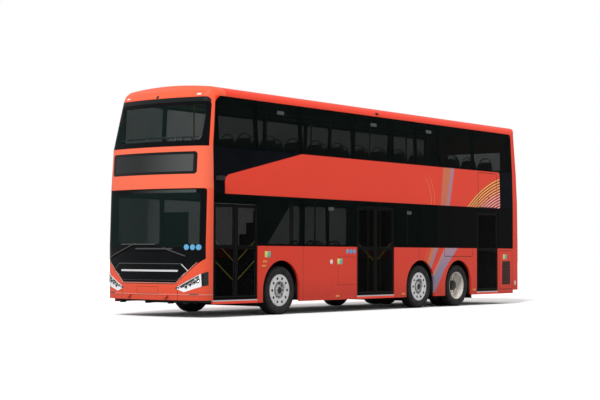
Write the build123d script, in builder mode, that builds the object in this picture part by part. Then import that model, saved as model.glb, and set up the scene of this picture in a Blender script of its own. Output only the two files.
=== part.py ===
from build123d import *
import math
import os

# Electric double-deck city bus: +X forward, +Y its left side, +Z up, origin on the ground

# Overall sizes, in millimetres
body_length = 12000
body_width = 2500
roof_z = 4345
half_width = body_width / 2
wiper_stand = 35
lamp_stand = 12
nose_x = body_length / 2 - wiper_stand
tail_x = lamp_stand - body_length / 2

# Walls and fits
wall = 50
glass = 8
bond = 0.5
joint_gap = 4
run_gap = 8
overrun = 100
corner_radius = 60
diagonal_share = math.sqrt(0.5)

# Levels above the ground
skirt_z = 250
bumper_z = 320
belt_z = 1330
knee_z = 2400
band_z = 2291
deck_z = 3155
eaves_z = 4110
crown_z = roof_z + overrun
shoulder_z = 4290
shoulder_y = 990
shoulder_share = 0.3

# Plan of the ends
bow_radius = 4200
corner_plan_radius = 280
tail_plan_radius = 150

# Lean of each level: height, inward lean of a side, set back of the nose, set in of the tail
toe_back = 15
chin_back = 30
tail_low_in = 25
deck_lean = 18
deck_back = 70
tail_deck_in = 55
eaves_lean = 72
brow_back = 300
tail_eaves_in = 92
brow_step_z = 110
brow_round_back = 370
brow_top_z = 172
brow_top_back = 460
crown_back = 700
lean_table = [
    (skirt_z - overrun, 0, toe_back, 0),
    (belt_z, 0, 0, 0),
    (knee_z, 0, chin_back, tail_low_in),
    (deck_z, deck_lean, deck_back, tail_deck_in),
    (eaves_z, eaves_lean, brow_back, tail_eaves_in),
    (eaves_z + brow_step_z, eaves_lean, brow_round_back, tail_eaves_in),
    (eaves_z + brow_top_z, eaves_lean, brow_top_back, tail_eaves_in),
    (crown_z, eaves_lean, crown_back, tail_eaves_in),
]

# Stations along the body
nose_split_x = 5530
nose_eaves_x = 5390
cap_x = 5100
tail_split_x = -5640

# Wheels and axles
tyre_radius = 473
tyre_width = 275
rim_radius = 310
twin_gap = 30
arch_radius = 580
wheel_side_in = 30
well_half = 640
well_top_z = 1085
well_wall = 20
axle_z = tyre_radius
front_axle_x = 3490
middle_axle_x = -1500
drive_axle_x = -3100
# name, station, inner face of its wheel well
steer_well_y = 540
middle_well_y = 720
drive_well_y = 480
axle_table = [
    ("front", front_axle_x, steer_well_y),
    ("middle", middle_axle_x, middle_well_y),
    ("drive", drive_axle_x, drive_well_y),
]

# Doors on the left side: name, front jamb, rear jamb, height of the opening, leaves
door_sill_z = 310
door_one_front, door_one_rear, door_one_top = 5526, 4230, 2110
door_two_front, door_two_rear, door_two_top = 948, -447, 2180
door_three_front, door_three_rear, door_three_top = -3925, -4914, 2180
door_table = [
    ("front", door_one_front, door_one_rear, door_one_top, 2),
    ("middle", door_two_front, door_two_rear, door_two_top, 2),
    ("rear", door_three_front, door_three_rear, door_three_top, 1),
]
leaf_thick = 36
leaf_rim = 55
leaf_rail_z = 1330
jamb_gap = 14
pivot_in = 18
pivot_radius = 12

# Floors
floor_z = 320
floor_thick = 50
upper_floor_z = 2360
upper_floor_thick = 60
frame_thick = 30
stair_front_x = 2780
stair_rear_x = 900
stair_width = 620
stair_steps = 8
stair_waist = 160
bulkhead_x = -4960
rail_y = 430
rail_wide = 70
tow_y = rail_y + rail_wide / 2

inner_half = half_width - wall


def plan_outline(half, front, back, inset):
    """Lines and arcs of one plan section: bowed nose, round corners, straight sides."""
    half, front, back = half - inset, front - inset, back + inset
    bow, corner, tail = bow_radius - inset, corner_plan_radius - inset, tail_plan_radius - inset
    bow_x = front - bow
    corner_y = half - corner
    reach = bow - corner
    corner_x = bow_x + math.sqrt(reach ** 2 - corner_y ** 2)
    touch_x = bow_x + bow * (corner_x - bow_x) / reach
    touch_y = bow * corner_y / reach
    middle = (math.atan2(corner_y, corner_x - bow_x) + math.pi / 2) / 2
    corner_mid_x = corner_x + corner * math.cos(middle)
    corner_mid_y = corner_y + corner * math.sin(middle)
    tail_mid = tail - tail * diagonal_share
    Line((back, -(half - tail)), (back, half - tail))
    ThreePointArc((back, half - tail), (back + tail_mid, half - tail_mid), (back + tail, half))
    Line((back + tail, half), (corner_x, half))
    ThreePointArc((corner_x, half), (corner_mid_x, corner_mid_y), (touch_x, touch_y))
    ThreePointArc((touch_x, touch_y), (front, 0), (touch_x, -touch_y))
    ThreePointArc((touch_x, -touch_y), (corner_mid_x, -corner_mid_y), (corner_x, -half))
    Line((corner_x, -half), (back + tail, -half))
    ThreePointArc((back + tail, -half), (back + tail_mid, -half + tail_mid), (back, -half + tail))


def envelope(inset):
    """The closed outer form of the body, with every face moved in by the inset."""
    with BuildPart() as hull:
        for height, lean, nose_back, tail_in in lean_table:
            with BuildSketch(Plane.XY.offset(height)):
                with BuildLine():
                    plan_outline(half_width - lean, nose_x - nose_back, tail_x + tail_in, inset)
                make_face()
        loft(ruled=True)
        side_y = half_width - eaves_lean - inset
        wide_y = half_width + overrun
        turn_y = shoulder_y - inset * shoulder_share
        turn_z = shoulder_z - inset
        mid_y = turn_y + (side_y - turn_y) * diagonal_share
        mid_z = eaves_z + (turn_z - eaves_z) * diagonal_share
        low_z = eaves_z - (wide_y - side_y)
        with BuildSketch(Plane.YZ.offset(tail_x - overrun)):
            with BuildLine():
                Polyline((-side_y, eaves_z), (-wide_y, low_z), (-wide_y, 0),
                         (wide_y, 0), (wide_y, low_z), (side_y, eaves_z))
                ThreePointArc((side_y, eaves_z), (mid_y, mid_z), (turn_y, turn_z))
                ThreePointArc((turn_y, turn_z), (0, roof_z - inset), (-turn_y, turn_z))
                ThreePointArc((-turn_y, turn_z), (-mid_y, mid_z), (-side_y, eaves_z))
            make_face()
        extrude(amount=body_length + 2 * overrun, mode=Mode.INTERSECT)
    return hull.part


outer = envelope(0)
under_glass = envelope(glass + bond)
pane_back = envelope(glass)
inner = envelope(wall)
with BuildPart() as shell:
    add(outer)
    add(inner, mode=Mode.SUBTRACT)
with BuildPart() as frame_shell:
    add(under_glass)
    add(inner, mode=Mode.SUBTRACT)
with BuildPart() as pane_shell:
    add(outer)
    add(pane_back, mode=Mode.SUBTRACT)


def box_between(x_span, y_span, z_span, mode=Mode.ADD):
    """A block from its low and high corners."""
    centre = [(low + high) / 2 for low, high in (x_span, y_span, z_span)]
    size = [high - low for low, high in (x_span, y_span, z_span)]
    with Locations(tuple(centre)):
        Box(*size, mode=mode)


def plate(x_front, x_rear, z_low, z_high):
    """A rectangle on the side plane, drawn in an open sketch."""
    with Locations(((x_front + x_rear) / 2, (z_low + z_high) / 2)):
        Rectangle(x_front - x_rear, z_high - z_low)


def window_hole(x_front, x_rear, z_low, z_high):
    """A round-cornered hole in an open side sketch."""
    with Locations(((x_front + x_rear) / 2, (z_low + z_high) / 2)):
        RectangleRounded(x_front - x_rear, z_high - z_low, corner_radius, mode=Mode.SUBTRACT)


side_plane = Plane.XZ.offset(-(half_width + overrun))
side_depth = half_width + overrun - shoulder_y / 2
half_gap = joint_gap / 2
arch_list = [station for _, station, _ in axle_table]

# Skirt stretches on each side: front end, rear end
left_skirts = [
    (door_one_rear, door_two_front),
    (door_two_rear, door_three_front),
    (door_three_rear, tail_split_x),
]
right_skirts = [
    (nose_split_x, door_two_front),
    (door_two_front, door_three_rear),
    (door_three_rear, tail_split_x),
]
mid_front_x = 5206
mid_rise_z = 2580
mid_slope_x = 5100
mid_slope_z = 2650
mid_wedge_x = 2838
quarter_x = -5016
glass_end_x = -5480


def skirt_sketch(stretches):
    """Lower panels of one side, with the wheel arches cut."""
    for front, rear in stretches:
        plate(front - half_gap, rear + half_gap, skirt_z, belt_z)
    for station in arch_list:
        with Locations((station, axle_z)):
            Circle(arch_radius, mode=Mode.SUBTRACT)
        with Locations((station, (skirt_z - overrun + axle_z) / 2)):
            Rectangle(2 * arch_radius, axle_z - skirt_z + overrun, mode=Mode.SUBTRACT)


with BuildPart() as left_panels:
    with BuildSketch(side_plane):
        skirt_sketch(left_skirts)
        with BuildLine():
            Polyline((mid_front_x, band_z), (mid_front_x, mid_rise_z), (mid_slope_x, mid_slope_z),
                     (mid_wedge_x, deck_z), (quarter_x, deck_z), (quarter_x, band_z), close=True)
        make_face()
    extrude(amount=side_depth)
    add(shell.part, mode=Mode.INTERSECT)

with BuildPart() as right_panels:
    with BuildSketch(side_plane):
        skirt_sketch(right_skirts)
        with BuildLine():
            Polyline((mid_front_x, band_z), (mid_front_x, mid_rise_z), (mid_slope_x, mid_slope_z),
                     (mid_wedge_x, deck_z), (quarter_x, deck_z), (quarter_x, band_z), close=True)
        make_face()
    extrude(amount=side_depth)
    mirror(about=Plane.XZ, mode=Mode.REPLACE)
    add(shell.part, mode=Mode.INTERSECT)

# Gloss quarters: the front wedge and the rear upright on each side
with BuildPart() as quarter_panels:
    with BuildSketch(side_plane):
        with BuildLine():
            Polyline((nose_split_x - half_gap, band_z), (mid_front_x + joint_gap, band_z),
                     (mid_front_x + joint_gap, mid_rise_z), (mid_slope_x + joint_gap, mid_slope_z),
                     (mid_wedge_x + joint_gap, deck_z), (nose_split_x - half_gap, deck_z), close=True)
        make_face()
        plate(quarter_x - joint_gap, tail_split_x + half_gap, band_z, deck_z)
    extrude(amount=side_depth)
    mirror(about=Plane.XZ)
    add(shell.part, mode=Mode.INTERSECT)

# Window posts: stations of the seams, front to rear
post_half = 45
sill_rise = 40
upper_seams = [4240, 2830, 1030, -440, -1370, -2310, -3820]
left_posts_front = [2830]
left_posts_rear = [-1430, -2660]
right_posts = [4240, 2830, 1030, -440, -1370, -2660, -3820]


def window_spans(front, posts, rear):
    """Front and rear end of each window between two ends."""
    stations = [front] + posts + [rear]
    return list(zip(stations, stations[1:]))


lower_left_spans = (window_spans(door_one_rear, left_posts_front, door_two_front)
                    + window_spans(door_two_rear, left_posts_rear, door_three_front))
lower_right_spans = window_spans(nose_split_x, right_posts, door_three_rear)
upper_spans = window_spans(nose_split_x, upper_seams, glass_end_x)
upper_front_slope = nose_split_x - nose_eaves_x


def band_holes(spans, z_low, z_high, slope=0):
    """One hole per window, between its posts; the first may lean back at the front."""
    for front, rear in spans:
        lean = slope if front == nose_split_x else 0
        window_hole(front - post_half - lean, rear + post_half, z_low + sill_rise, z_high - sill_rise)


def frame_stretches(stretches):
    """Lower window frames of one side."""
    for front, rear in stretches:
        plate(front - half_gap, rear + half_gap, belt_z, band_z)


def upper_outline():
    """The upper window band, its front edge leaning back with the nose."""
    with BuildLine() as border:
        Polyline((nose_split_x - half_gap, deck_z), (nose_eaves_x - half_gap, eaves_z),
                 (tail_split_x + half_gap, eaves_z), (tail_split_x + half_gap, deck_z), close=True)
    make_face(border.edges())


def door_headers():
    """Header plates over the doors."""
    for _, front, rear, top, _ in door_table:
        plate(front - half_gap, rear + half_gap, top, band_z)


with BuildPart() as left_frame:
    with BuildSketch(side_plane):
        frame_stretches(left_skirts)
        band_holes(lower_left_spans, belt_z, band_z)
        door_headers()
        upper_outline()
        band_holes(upper_spans, deck_z, eaves_z, upper_front_slope)
    extrude(amount=side_depth)
    add(frame_shell.part, mode=Mode.INTERSECT)

with BuildPart() as right_frame:
    with BuildSketch(side_plane):
        plate(nose_split_x - half_gap, tail_split_x + half_gap, belt_z, band_z)
        band_holes(lower_right_spans, belt_z, band_z)
        upper_outline()
        band_holes(upper_spans, deck_z, eaves_z, upper_front_slope)
    extrude(amount=side_depth)
    mirror(about=Plane.XZ, mode=Mode.REPLACE)
    add(frame_shell.part, mode=Mode.INTERSECT)


def pane_row(spans, z_low, z_high):
    """Flush panes, one per window, with a narrow joint between them."""
    for front, rear in spans:
        plate(front - half_gap, rear + half_gap, z_low + half_gap, z_high - half_gap)


def upper_panes():
    """The upper row, its first pane leaning back at the front."""
    first_rear = upper_seams[0] + half_gap
    with BuildLine() as border:
        Polyline((nose_split_x - half_gap, deck_z + half_gap), (nose_eaves_x - half_gap, eaves_z - half_gap),
                 (first_rear, eaves_z - half_gap), (first_rear, deck_z + half_gap), close=True)
    make_face(border.edges())
    pane_row(upper_spans[1:-1], deck_z, eaves_z)
    pane_row([(upper_seams[-1], tail_split_x)], deck_z, eaves_z)


with BuildPart() as left_glass:
    with BuildSketch(side_plane):
        pane_row(lower_left_spans, belt_z, band_z)
        pane_row([(door_three_rear, tail_split_x)], belt_z, band_z)
        for _, front, rear, top, _ in door_table:
            pane_row([(front, rear)], top, band_z)
        upper_panes()
    extrude(amount=side_depth)
    add(pane_shell.part, mode=Mode.INTERSECT)

with BuildPart() as right_glass:
    with BuildSketch(side_plane):
        pane_row(lower_right_spans, belt_z, band_z)
        pane_row([(door_three_rear, tail_split_x)], belt_z, band_z)
        upper_panes()
    extrude(amount=side_depth)
    mirror(about=Plane.XZ, mode=Mode.REPLACE)
    add(pane_shell.part, mode=Mode.INTERSECT)

# Roof behind the front cap
with BuildPart() as roof:
    add(shell.part)
    box_between((tail_x, cap_x - half_gap), (-half_width, half_width), (eaves_z, crown_z), Mode.INTERSECT)

# The nose is split from the sides along a line that leans back above the deck
glass_top_z = 4000


def nose_back_x(z):
    """Where the nose starts at a height above the deck."""
    return nose_split_x + (nose_eaves_x - nose_split_x) * (z - deck_z) / (eaves_z - deck_z)


with BuildPart() as front_cap:
    with BuildSketch(side_plane):
        with BuildLine():
            Polyline((cap_x + half_gap, eaves_z), (nose_eaves_x, eaves_z), (nose_back_x(glass_top_z), glass_top_z),
                     (nose_x, glass_top_z), (nose_x, crown_z), (cap_x + half_gap, crown_z), close=True)
        make_face()
    extrude(amount=body_width + 2 * overrun)
    add(shell.part, mode=Mode.INTERSECT)

# Front: glass levels and the panels between them
brow_z = 2375
sill_front_z = 1210
pillar = 70
upper_pillar = 90


def nose_band(z_low, z_high):
    """The stretch of the nose between two levels, as a side outline."""
    with BuildLine() as border:
        Polyline((nose_back_x(max(z_low, deck_z)), z_low), (nose_back_x(max(z_high, deck_z)), z_high),
                 (nose_x + overrun, z_high), (nose_x + overrun, z_low), close=True)
    make_face(border.edges())


def front_hole(half_low, half_high, z_low, z_high, radius):
    """A hole through the nose, drawn on the front plane."""
    with BuildSketch(Plane.YZ.offset(nose_split_x - overrun)) as opening:
        with BuildLine():
            Polyline((-half_low, z_low), (half_low, z_low), (half_high, z_high), (-half_high, z_high),
                     close=True)
        make_face()
        fillet(opening.vertices(), radius)
    extrude(opening.sketch, amount=body_width, mode=Mode.SUBTRACT)


# level low and high, half width low and high, radius of the top corners
screen_half = 1214
upper_half_low = 1206
upper_half_high = 1136
screen_round = 40
upper_round = 70
screen_table = [
    (sill_front_z, brow_z, screen_half, screen_half, screen_round),
    (deck_z, glass_top_z, upper_half_low, upper_half_high, upper_round),
]


def screen_outlines(clear, mode):
    """Both windscreens from in front, made smaller all round by a clearance."""
    with BuildSketch(Plane.YZ.offset(nose_eaves_x - overrun)) as outlines:
        for z_low, z_high, half_low, half_high, radius in screen_table:
            with BuildSketch(mode=Mode.PRIVATE) as one:
                with BuildLine():
                    Polyline((-half_low + clear, z_low + clear), (half_low - clear, z_low + clear),
                             (half_high - clear, z_high - clear), (-half_high + clear, z_high - clear), close=True)
                make_face()
                fillet(one.vertices().group_by(Axis.Y)[-1], radius)
            add(one.sketch)
    extrude(outlines.sketch, amount=body_width, mode=mode)


with BuildPart() as windscreen_frames:
    with BuildSketch(side_plane):
        nose_band(sill_front_z, brow_z)
        nose_band(deck_z, glass_top_z)
    extrude(amount=body_width + 2 * overrun)
    add(frame_shell.part, mode=Mode.INTERSECT)
    screen_outlines(0, Mode.INTERSECT)
    front_hole(inner_half - pillar, inner_half - pillar, sill_front_z + pillar, brow_z - pillar, corner_radius)
    front_hole(inner_half - upper_pillar, inner_half - upper_pillar - deck_lean,
               deck_z + pillar, glass_top_z - pillar, corner_radius)

with BuildPart() as windscreens:
    with BuildSketch(side_plane):
        nose_band(sill_front_z, brow_z)
        nose_band(deck_z, glass_top_z)
    extrude(amount=body_width + 2 * overrun)
    add(pane_shell.part, mode=Mode.INTERSECT)
    screen_outlines(half_gap, Mode.INTERSECT)

# Painted uprights at both sides of the windscreens
with BuildPart() as front_pillars:
    with BuildSketch(side_plane):
        nose_band(sill_front_z, brow_z)
        nose_band(deck_z, glass_top_z)
    extrude(amount=body_width + 2 * overrun)
    add(shell.part, mode=Mode.INTERSECT)
    screen_outlines(-bond, Mode.SUBTRACT)

display_half = 1060
display_low_z = 2640
display_high_z = 3055

with BuildPart() as front_band:
    with BuildSketch(side_plane):
        nose_band(brow_z, deck_z)
    extrude(amount=body_width + 2 * overrun)
    add(shell.part, mode=Mode.INTERSECT)
    front_hole(display_half, display_half, display_low_z, display_high_z, corner_radius)

with BuildPart() as display:
    with BuildSketch(Plane.YZ.offset(nose_split_x + corner_plan_radius / 2)):
        with Locations((0, (display_low_z + display_high_z) / 2)):
            RectangleRounded(2 * display_half - joint_gap / 4, display_high_z - display_low_z - joint_gap / 4,
                             corner_radius)
    extrude(amount=body_width)
    add(pane_shell.part, mode=Mode.INTERSECT)

# Black lower panel with slanting lower corners
apron_side_z = 1083
apron_low_z = 616
apron_half = 660


def apron_outline(clear):
    """Front outline of the black panel, grown by a clearance."""
    with BuildLine() as border:
        Polyline((-apron_half - clear, apron_low_z - clear), (apron_half + clear, apron_low_z - clear),
                 (screen_half + clear, apron_side_z - clear), (screen_half + clear, sill_front_z),
                 (-screen_half - clear, sill_front_z), (-screen_half - clear, apron_side_z - clear),
                 close=True)
    make_face(border.edges())


with BuildPart() as front_panel:
    with BuildSketch(Plane.YZ.offset(nose_split_x)):
        apron_outline(0)
    extrude(amount=body_width)
    add(shell.part, mode=Mode.INTERSECT)

# Headlamps sit in pockets cut in the bumper corners
lamp_inner_y = 640
lamp_outer_y = 1236
lamp_tip_z = 540
lamp_top_z = 850
lamp_base_z = 470
lamp_depth_x = 5640


def lamp_outline(side, clear):
    """Front outline of one headlamp, grown by a clearance."""
    inner_y = side * (lamp_inner_y - clear)
    outer_y = side * (lamp_outer_y + clear)
    base_y = side * (lamp_inner_y + (lamp_outer_y - lamp_inner_y) / 3)
    edge_z = lamp_base_z + (lamp_top_z - lamp_base_z) / 3 - clear
    with BuildLine() as border:
        Polyline((inner_y, lamp_tip_z), (outer_y, lamp_top_z + clear), (outer_y, edge_z),
                 (base_y, lamp_base_z - clear), close=True)
    make_face(border.edges())


tow_radius = 20
tow_depth = 80
tow_z = 400
tow_sleeve = 35
tow_end_x = nose_x - 20

with BuildPart() as bumper:
    with BuildSketch(side_plane):
        nose_band(bumper_z, sill_front_z)
    extrude(amount=body_width + 2 * overrun)
    add(shell.part, mode=Mode.INTERSECT)
    with BuildSketch(Plane.YZ.offset(nose_split_x - overrun)):
        apron_outline(bond)
    extrude(amount=body_width, mode=Mode.SUBTRACT)
    for side in (1, -1):
        with BuildSketch(Plane.YZ.offset(lamp_depth_x)):
            lamp_outline(side, bond)
        extrude(amount=body_width, mode=Mode.SUBTRACT)
        with BuildSketch(Plane.YZ.offset(lamp_depth_x)):
            with Locations((side * tow_y, tow_z)):
                Circle(tow_sleeve + joint_gap)
        extrude(amount=body_width, mode=Mode.SUBTRACT)

with BuildPart() as headlamps:
    for side in (1, -1):
        with BuildSketch(Plane.YZ.offset(lamp_depth_x + bond)):
            lamp_outline(side, 0)
        extrude(amount=body_width)
    add(shell.part, mode=Mode.INTERSECT)

# Rear wall with its window hole and the engine bay opening
rear_window_half = 760
rear_window_low = 3260
rear_window_high = 3920
bay_half = 900
bay_low_z = 640
bay_high_z = 1900
tail_corner_half = 1150
tail_skirt_z = 330

with BuildPart() as rear_wall:
    add(shell.part)
    box_between((tail_x, tail_split_x), (-half_width, half_width), (tail_skirt_z, eaves_z), Mode.INTERSECT)
    box_between((tail_x, tail_split_x), (-rear_window_half, rear_window_half),
                (rear_window_low, rear_window_high), Mode.SUBTRACT)
    box_between((tail_x, tail_split_x), (-bay_half, bay_half), (bay_low_z, bay_high_z), Mode.SUBTRACT)

with BuildPart() as rear_window:
    add(shell.part)
    box_between((tail_x, tail_split_x), (-rear_window_half + bond, rear_window_half - bond),
                (rear_window_low + bond, rear_window_high - bond), Mode.INTERSECT)

# The flap turns on two short pins near its top edge
flap_gap = 12
flap_pin_in = 12
flap_pin_radius = 8
seat_clear = 0.3
flap_pin_z = bay_high_z - flap_gap - flap_pin_in
tail_lean_share = (flap_pin_z - belt_z) / (knee_z - belt_z)
flap_pin_x = tail_x + tail_low_in * tail_lean_share + flap_pin_in
with BuildPart() as bay_flap:
    add(shell.part)
    box_between((tail_x, tail_split_x), (-bay_half + flap_gap, bay_half - flap_gap),
                (bay_low_z + flap_gap, bay_high_z - flap_gap), Mode.INTERSECT)
    with BuildSketch(Plane.XZ.offset(-bay_half + seat_clear)):
        with Locations((flap_pin_x, flap_pin_z)):
            Circle(flap_pin_radius)
    extrude(amount=2 * bay_half - 2 * seat_clear)

tail_lamp_y = 1040
tail_lamp_radius = 55
tail_lamp_pitch = 150
tail_lamp_low_z = 900
with BuildPart() as tail_lamps:
    for side in (1, -1):
        for step in range(3):
            centre_z = tail_lamp_low_z + step * tail_lamp_pitch
            with BuildSketch(Plane.YZ.offset(tail_x)):
                with Locations((side * tail_lamp_y, centre_z)):
                    Circle(tail_lamp_radius)
            extrude(amount=-lamp_stand)

# Lower floor with its wheel wells cut out
floor_front_x = 5400
floor_rear_x = bulkhead_x
with BuildPart() as lower_floor:
    box_between((floor_rear_x, floor_front_x), (-inner_half, inner_half), (floor_z - floor_thick, floor_z))
    add(inner, mode=Mode.INTERSECT)
    for _, station, well_y in axle_table:
        for side in (1, -1):
            low, high = sorted((side * well_y, side * half_width))
            box_between((station - well_half, station + well_half), (low, high),
                        (0, floor_z + overrun), Mode.SUBTRACT)
    bulkhead_wall = floor_thick
    box_between((floor_rear_x - bulkhead_wall, floor_rear_x - bond), (-inner_half, inner_half),
                (floor_z - floor_thick, upper_floor_z - upper_floor_thick))

with BuildPart() as wheel_wells:
    for _, station, well_y in axle_table:
        for side in (1, -1):
            low, high = sorted((side * well_y, side * inner_half))
            box_between((station - well_half, station + well_half), (low, high),
                        (floor_z - floor_thick, well_top_z))
            low, high = sorted((side * (well_y + well_wall), side * half_width))
            box_between((station - well_half + well_wall, station + well_half - well_wall), (low, high),
                        (0, well_top_z - well_wall), Mode.SUBTRACT)

with BuildPart() as upper_floor:
    box_between((tail_split_x, nose_split_x), (-inner_half, inner_half),
                (upper_floor_z - upper_floor_thick, upper_floor_z))
    add(inner, mode=Mode.INTERSECT)
    box_between((stair_rear_x, stair_front_x), (-inner_half, -inner_half + stair_width),
                (0, roof_z), Mode.SUBTRACT)

# Stairs rise towards the rear along the right wall
with BuildPart() as staircase:
    rise = (upper_floor_z - floor_z) / stair_steps
    run = (stair_front_x - stair_rear_x) / stair_steps
    tread_points = [(stair_front_x, floor_z)]
    for step in range(stair_steps):
        tread_points.append((stair_front_x - step * run, floor_z + (step + 1) * rise))
        tread_points.append((stair_front_x - (step + 1) * run, floor_z + (step + 1) * rise))
    tread_points.append((stair_rear_x, upper_floor_z - stair_waist))
    tread_points.append((stair_front_x - stair_waist, floor_z))
    with BuildSketch(Plane.XZ.offset(inner_half - stair_width)):
        with BuildLine():
            Polyline(*tread_points, close=True)
        make_face()
    extrude(amount=stair_width)

# Frame under the floor: two rails and cross members
cross_pitch = 950
frame_front_x = floor_front_x
bracket_thick = 50
frame_rear_x = -5500
frame_top_z = floor_z - floor_thick
pad_list = [4600, -4400]
pad_half_x = 70
pad_drop = 25
with BuildPart() as chassis_frame:
    for side in (1, -1):
        low, high = sorted((side * rail_y, side * (rail_y + rail_wide)))
        box_between((frame_rear_x, frame_front_x), (low, high), (frame_top_z - frame_thick, frame_top_z))
        for station in pad_list:
            box_between((station - pad_half_x, station + pad_half_x), (low, high),
                        (frame_top_z - frame_thick - pad_drop, frame_top_z - frame_thick))
    cross_count = int((frame_front_x - frame_rear_x) / cross_pitch) + 1
    cross_start = (frame_front_x + frame_rear_x - (cross_count - 1) * cross_pitch) / 2
    for number in range(cross_count):
        station = cross_start + number * cross_pitch
        box_between((station - rail_wide / 2, station + rail_wide / 2), (-rail_y - rail_wide, rail_y + rail_wide),
                    (frame_top_z - frame_thick, frame_top_z))
    for side in (1, -1):
        low, high = sorted((side * rail_y, side * (rail_y + rail_wide)))
        bracket_x = frame_front_x + bond
        box_between((bracket_x, bracket_x + bracket_thick), (low, high),
                    (frame_top_z - frame_thick, tow_z + tow_sleeve))
        for radius, start_x, mode in ((tow_sleeve, bracket_x, Mode.ADD),
                                      (tow_radius, tow_end_x - tow_depth, Mode.SUBTRACT)):
            with BuildSketch(Plane.YZ.offset(start_x)):
                with Locations((side * tow_y, tow_z)):
                    Circle(radius)
            extrude(amount=tow_end_x - start_x, mode=mode)

# Battery pack and traction gear in the tail
battery_half = 980
battery_low_z = floor_z - floor_thick + bond
battery_high_z = 2150
battery_front_x = bulkhead_x - bulkhead_wall - bond
battery_rear_x = -5860
with BuildPart() as battery_pack:
    box_between((battery_rear_x, battery_front_x), (-battery_half, battery_half), (battery_low_z, battery_high_z))

# Low portal beams that carry the wheels, seated on the frame rails
beam_low_z = 150
beam_high_z = 215
beam_half_x = 60
upright_half_x = 80
upright_wide = 80
upright_top_z = 620
knuckle_lug_thick = 40
knuckle_lug_high_z = 620
knuckle_lug_low_z = 285
lug_half_x = 48
kingpin_y = 860
kingpin_radius = 25
pin_clear = 0.08
boss_radius = 44
steer_upright_y = 790
middle_upright_y = 830
drive_upright_y = 590
# name, station, outer face of the uprights
upright_table = [
    ("front", front_axle_x, steer_upright_y),
    ("middle", middle_axle_x, middle_upright_y),
    ("drive", drive_axle_x, drive_upright_y),
]
stub_radius = 60
stub_clear = 0.1
tyre_out_y = half_width - wheel_side_in
tyre_in_y = tyre_out_y - tyre_width
twin_in_y = tyre_in_y - twin_gap - tyre_width
frame_low_z = floor_z - floor_thick - frame_thick

# Tyre and rim sizes
shoulder_in = 30
shoulder_drop = 40
tyre_facets = 40
half_turn = 180
bead_in = 25
disc_thick = 14
disc_face_y = 20
dish_radius = 175
dish_depth = 60
barrel_thick = 12
hand_hole_radius = 26
hand_hole_circle = 235
hand_holes = 10
hub_nose_radius = 95
hub_nose = 45
drum_radius = 130
drum_nose_radius = 110
drum_nose = 110
stub_end_y = tyre_out_y - disc_face_y - dish_depth - bond
twin_end_y = tyre_in_y + bead_in + disc_face_y - bond



def round_bar(x, y_span, z, radius, mode=Mode.ADD):
    """A bar along the wheel axis."""
    low, high = y_span
    with BuildSketch(Plane.XZ.offset(-low)) as section:
        with Locations((x, z)):
            Circle(radius)
    extrude(section.sketch, amount=low - high, mode=mode)


def upright_bar(x, y, z_span, radius, mode=Mode.ADD):
    """A standing bar."""
    low, high = z_span
    with BuildSketch(Plane.XY.offset(low)) as section:
        with Locations((x, y)):
            Circle(radius)
    extrude(section.sketch, amount=high - low, mode=mode)


with BuildPart() as axle_beams:
    for name, station, upright_y in upright_table:
        box_between((station - beam_half_x, station + beam_half_x), (-upright_y, upright_y),
                    (beam_low_z, beam_high_z))
        for side in (1, -1):
            low, high = sorted((side * (upright_y - upright_wide), side * upright_y))
            top_z = knuckle_lug_high_z + knuckle_lug_thick if name == "front" else upright_top_z
            box_between((station - upright_half_x, station + upright_half_x), (low, high),
                        (beam_high_z + bond, top_z))
            low, high = sorted((side * rail_y, side * (rail_y + rail_wide)))
            box_between((station - beam_half_x, station + beam_half_x), (low, high),
                        (beam_low_z, frame_low_z))
            if name == "front":
                for lug_z in (knuckle_lug_low_z, knuckle_lug_high_z):
                    low, high = sorted((side * upright_y, side * (kingpin_y + lug_half_x)))
                    box_between((station - lug_half_x, station + lug_half_x), (low, high),
                                (lug_z, lug_z + knuckle_lug_thick))
                    upright_bar(station, side * kingpin_y, (lug_z, lug_z + knuckle_lug_thick),
                                kingpin_radius + pin_clear, Mode.SUBTRACT)
            else:
                end_y = stub_end_y if name == "middle" else twin_end_y
                low, high = sorted((side * upright_y, side * end_y))
                round_bar(station, (low, high), axle_z, stub_radius)

knuckles = {}
for side, word in ((1, "left"), (-1, "right")):
    with BuildPart() as knuckle:
        upright_bar(front_axle_x, side * kingpin_y,
                    (knuckle_lug_low_z + knuckle_lug_thick + bond, knuckle_lug_high_z - bond), boss_radius)
        upright_bar(front_axle_x, side * kingpin_y,
                    (knuckle_lug_low_z, knuckle_lug_high_z + knuckle_lug_thick), kingpin_radius)
        low, high = sorted((side * kingpin_y, side * stub_end_y))
        round_bar(front_axle_x, (low, high), axle_z, stub_radius)
    knuckles["knuckle_" + word] = knuckle

# Tyres and rims, turned about their axle and then set in place


def tyre_ring(out_y):
    """A tyre of flat facets, one of them down, whose outer side stands at out_y."""
    in_y = out_y - tyre_width
    turn = half_turn / tyre_facets
    with BuildPart() as ring:
        for place, radius in ((in_y, tyre_radius - shoulder_drop), (in_y + shoulder_in, tyre_radius),
                              (out_y - shoulder_in, tyre_radius), (out_y, tyre_radius - shoulder_drop)):
            with BuildSketch(Plane.XZ.offset(-place)):
                RegularPolygon(radius, tyre_facets, major_radius=False, rotation=turn)
        loft(ruled=True)
        with BuildSketch(Plane.XZ.offset(-in_y)):
            RegularPolygon(rim_radius + seat_clear, tyre_facets, major_radius=False, rotation=turn)
        extrude(amount=-tyre_width, mode=Mode.SUBTRACT)
    return ring.part


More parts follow.
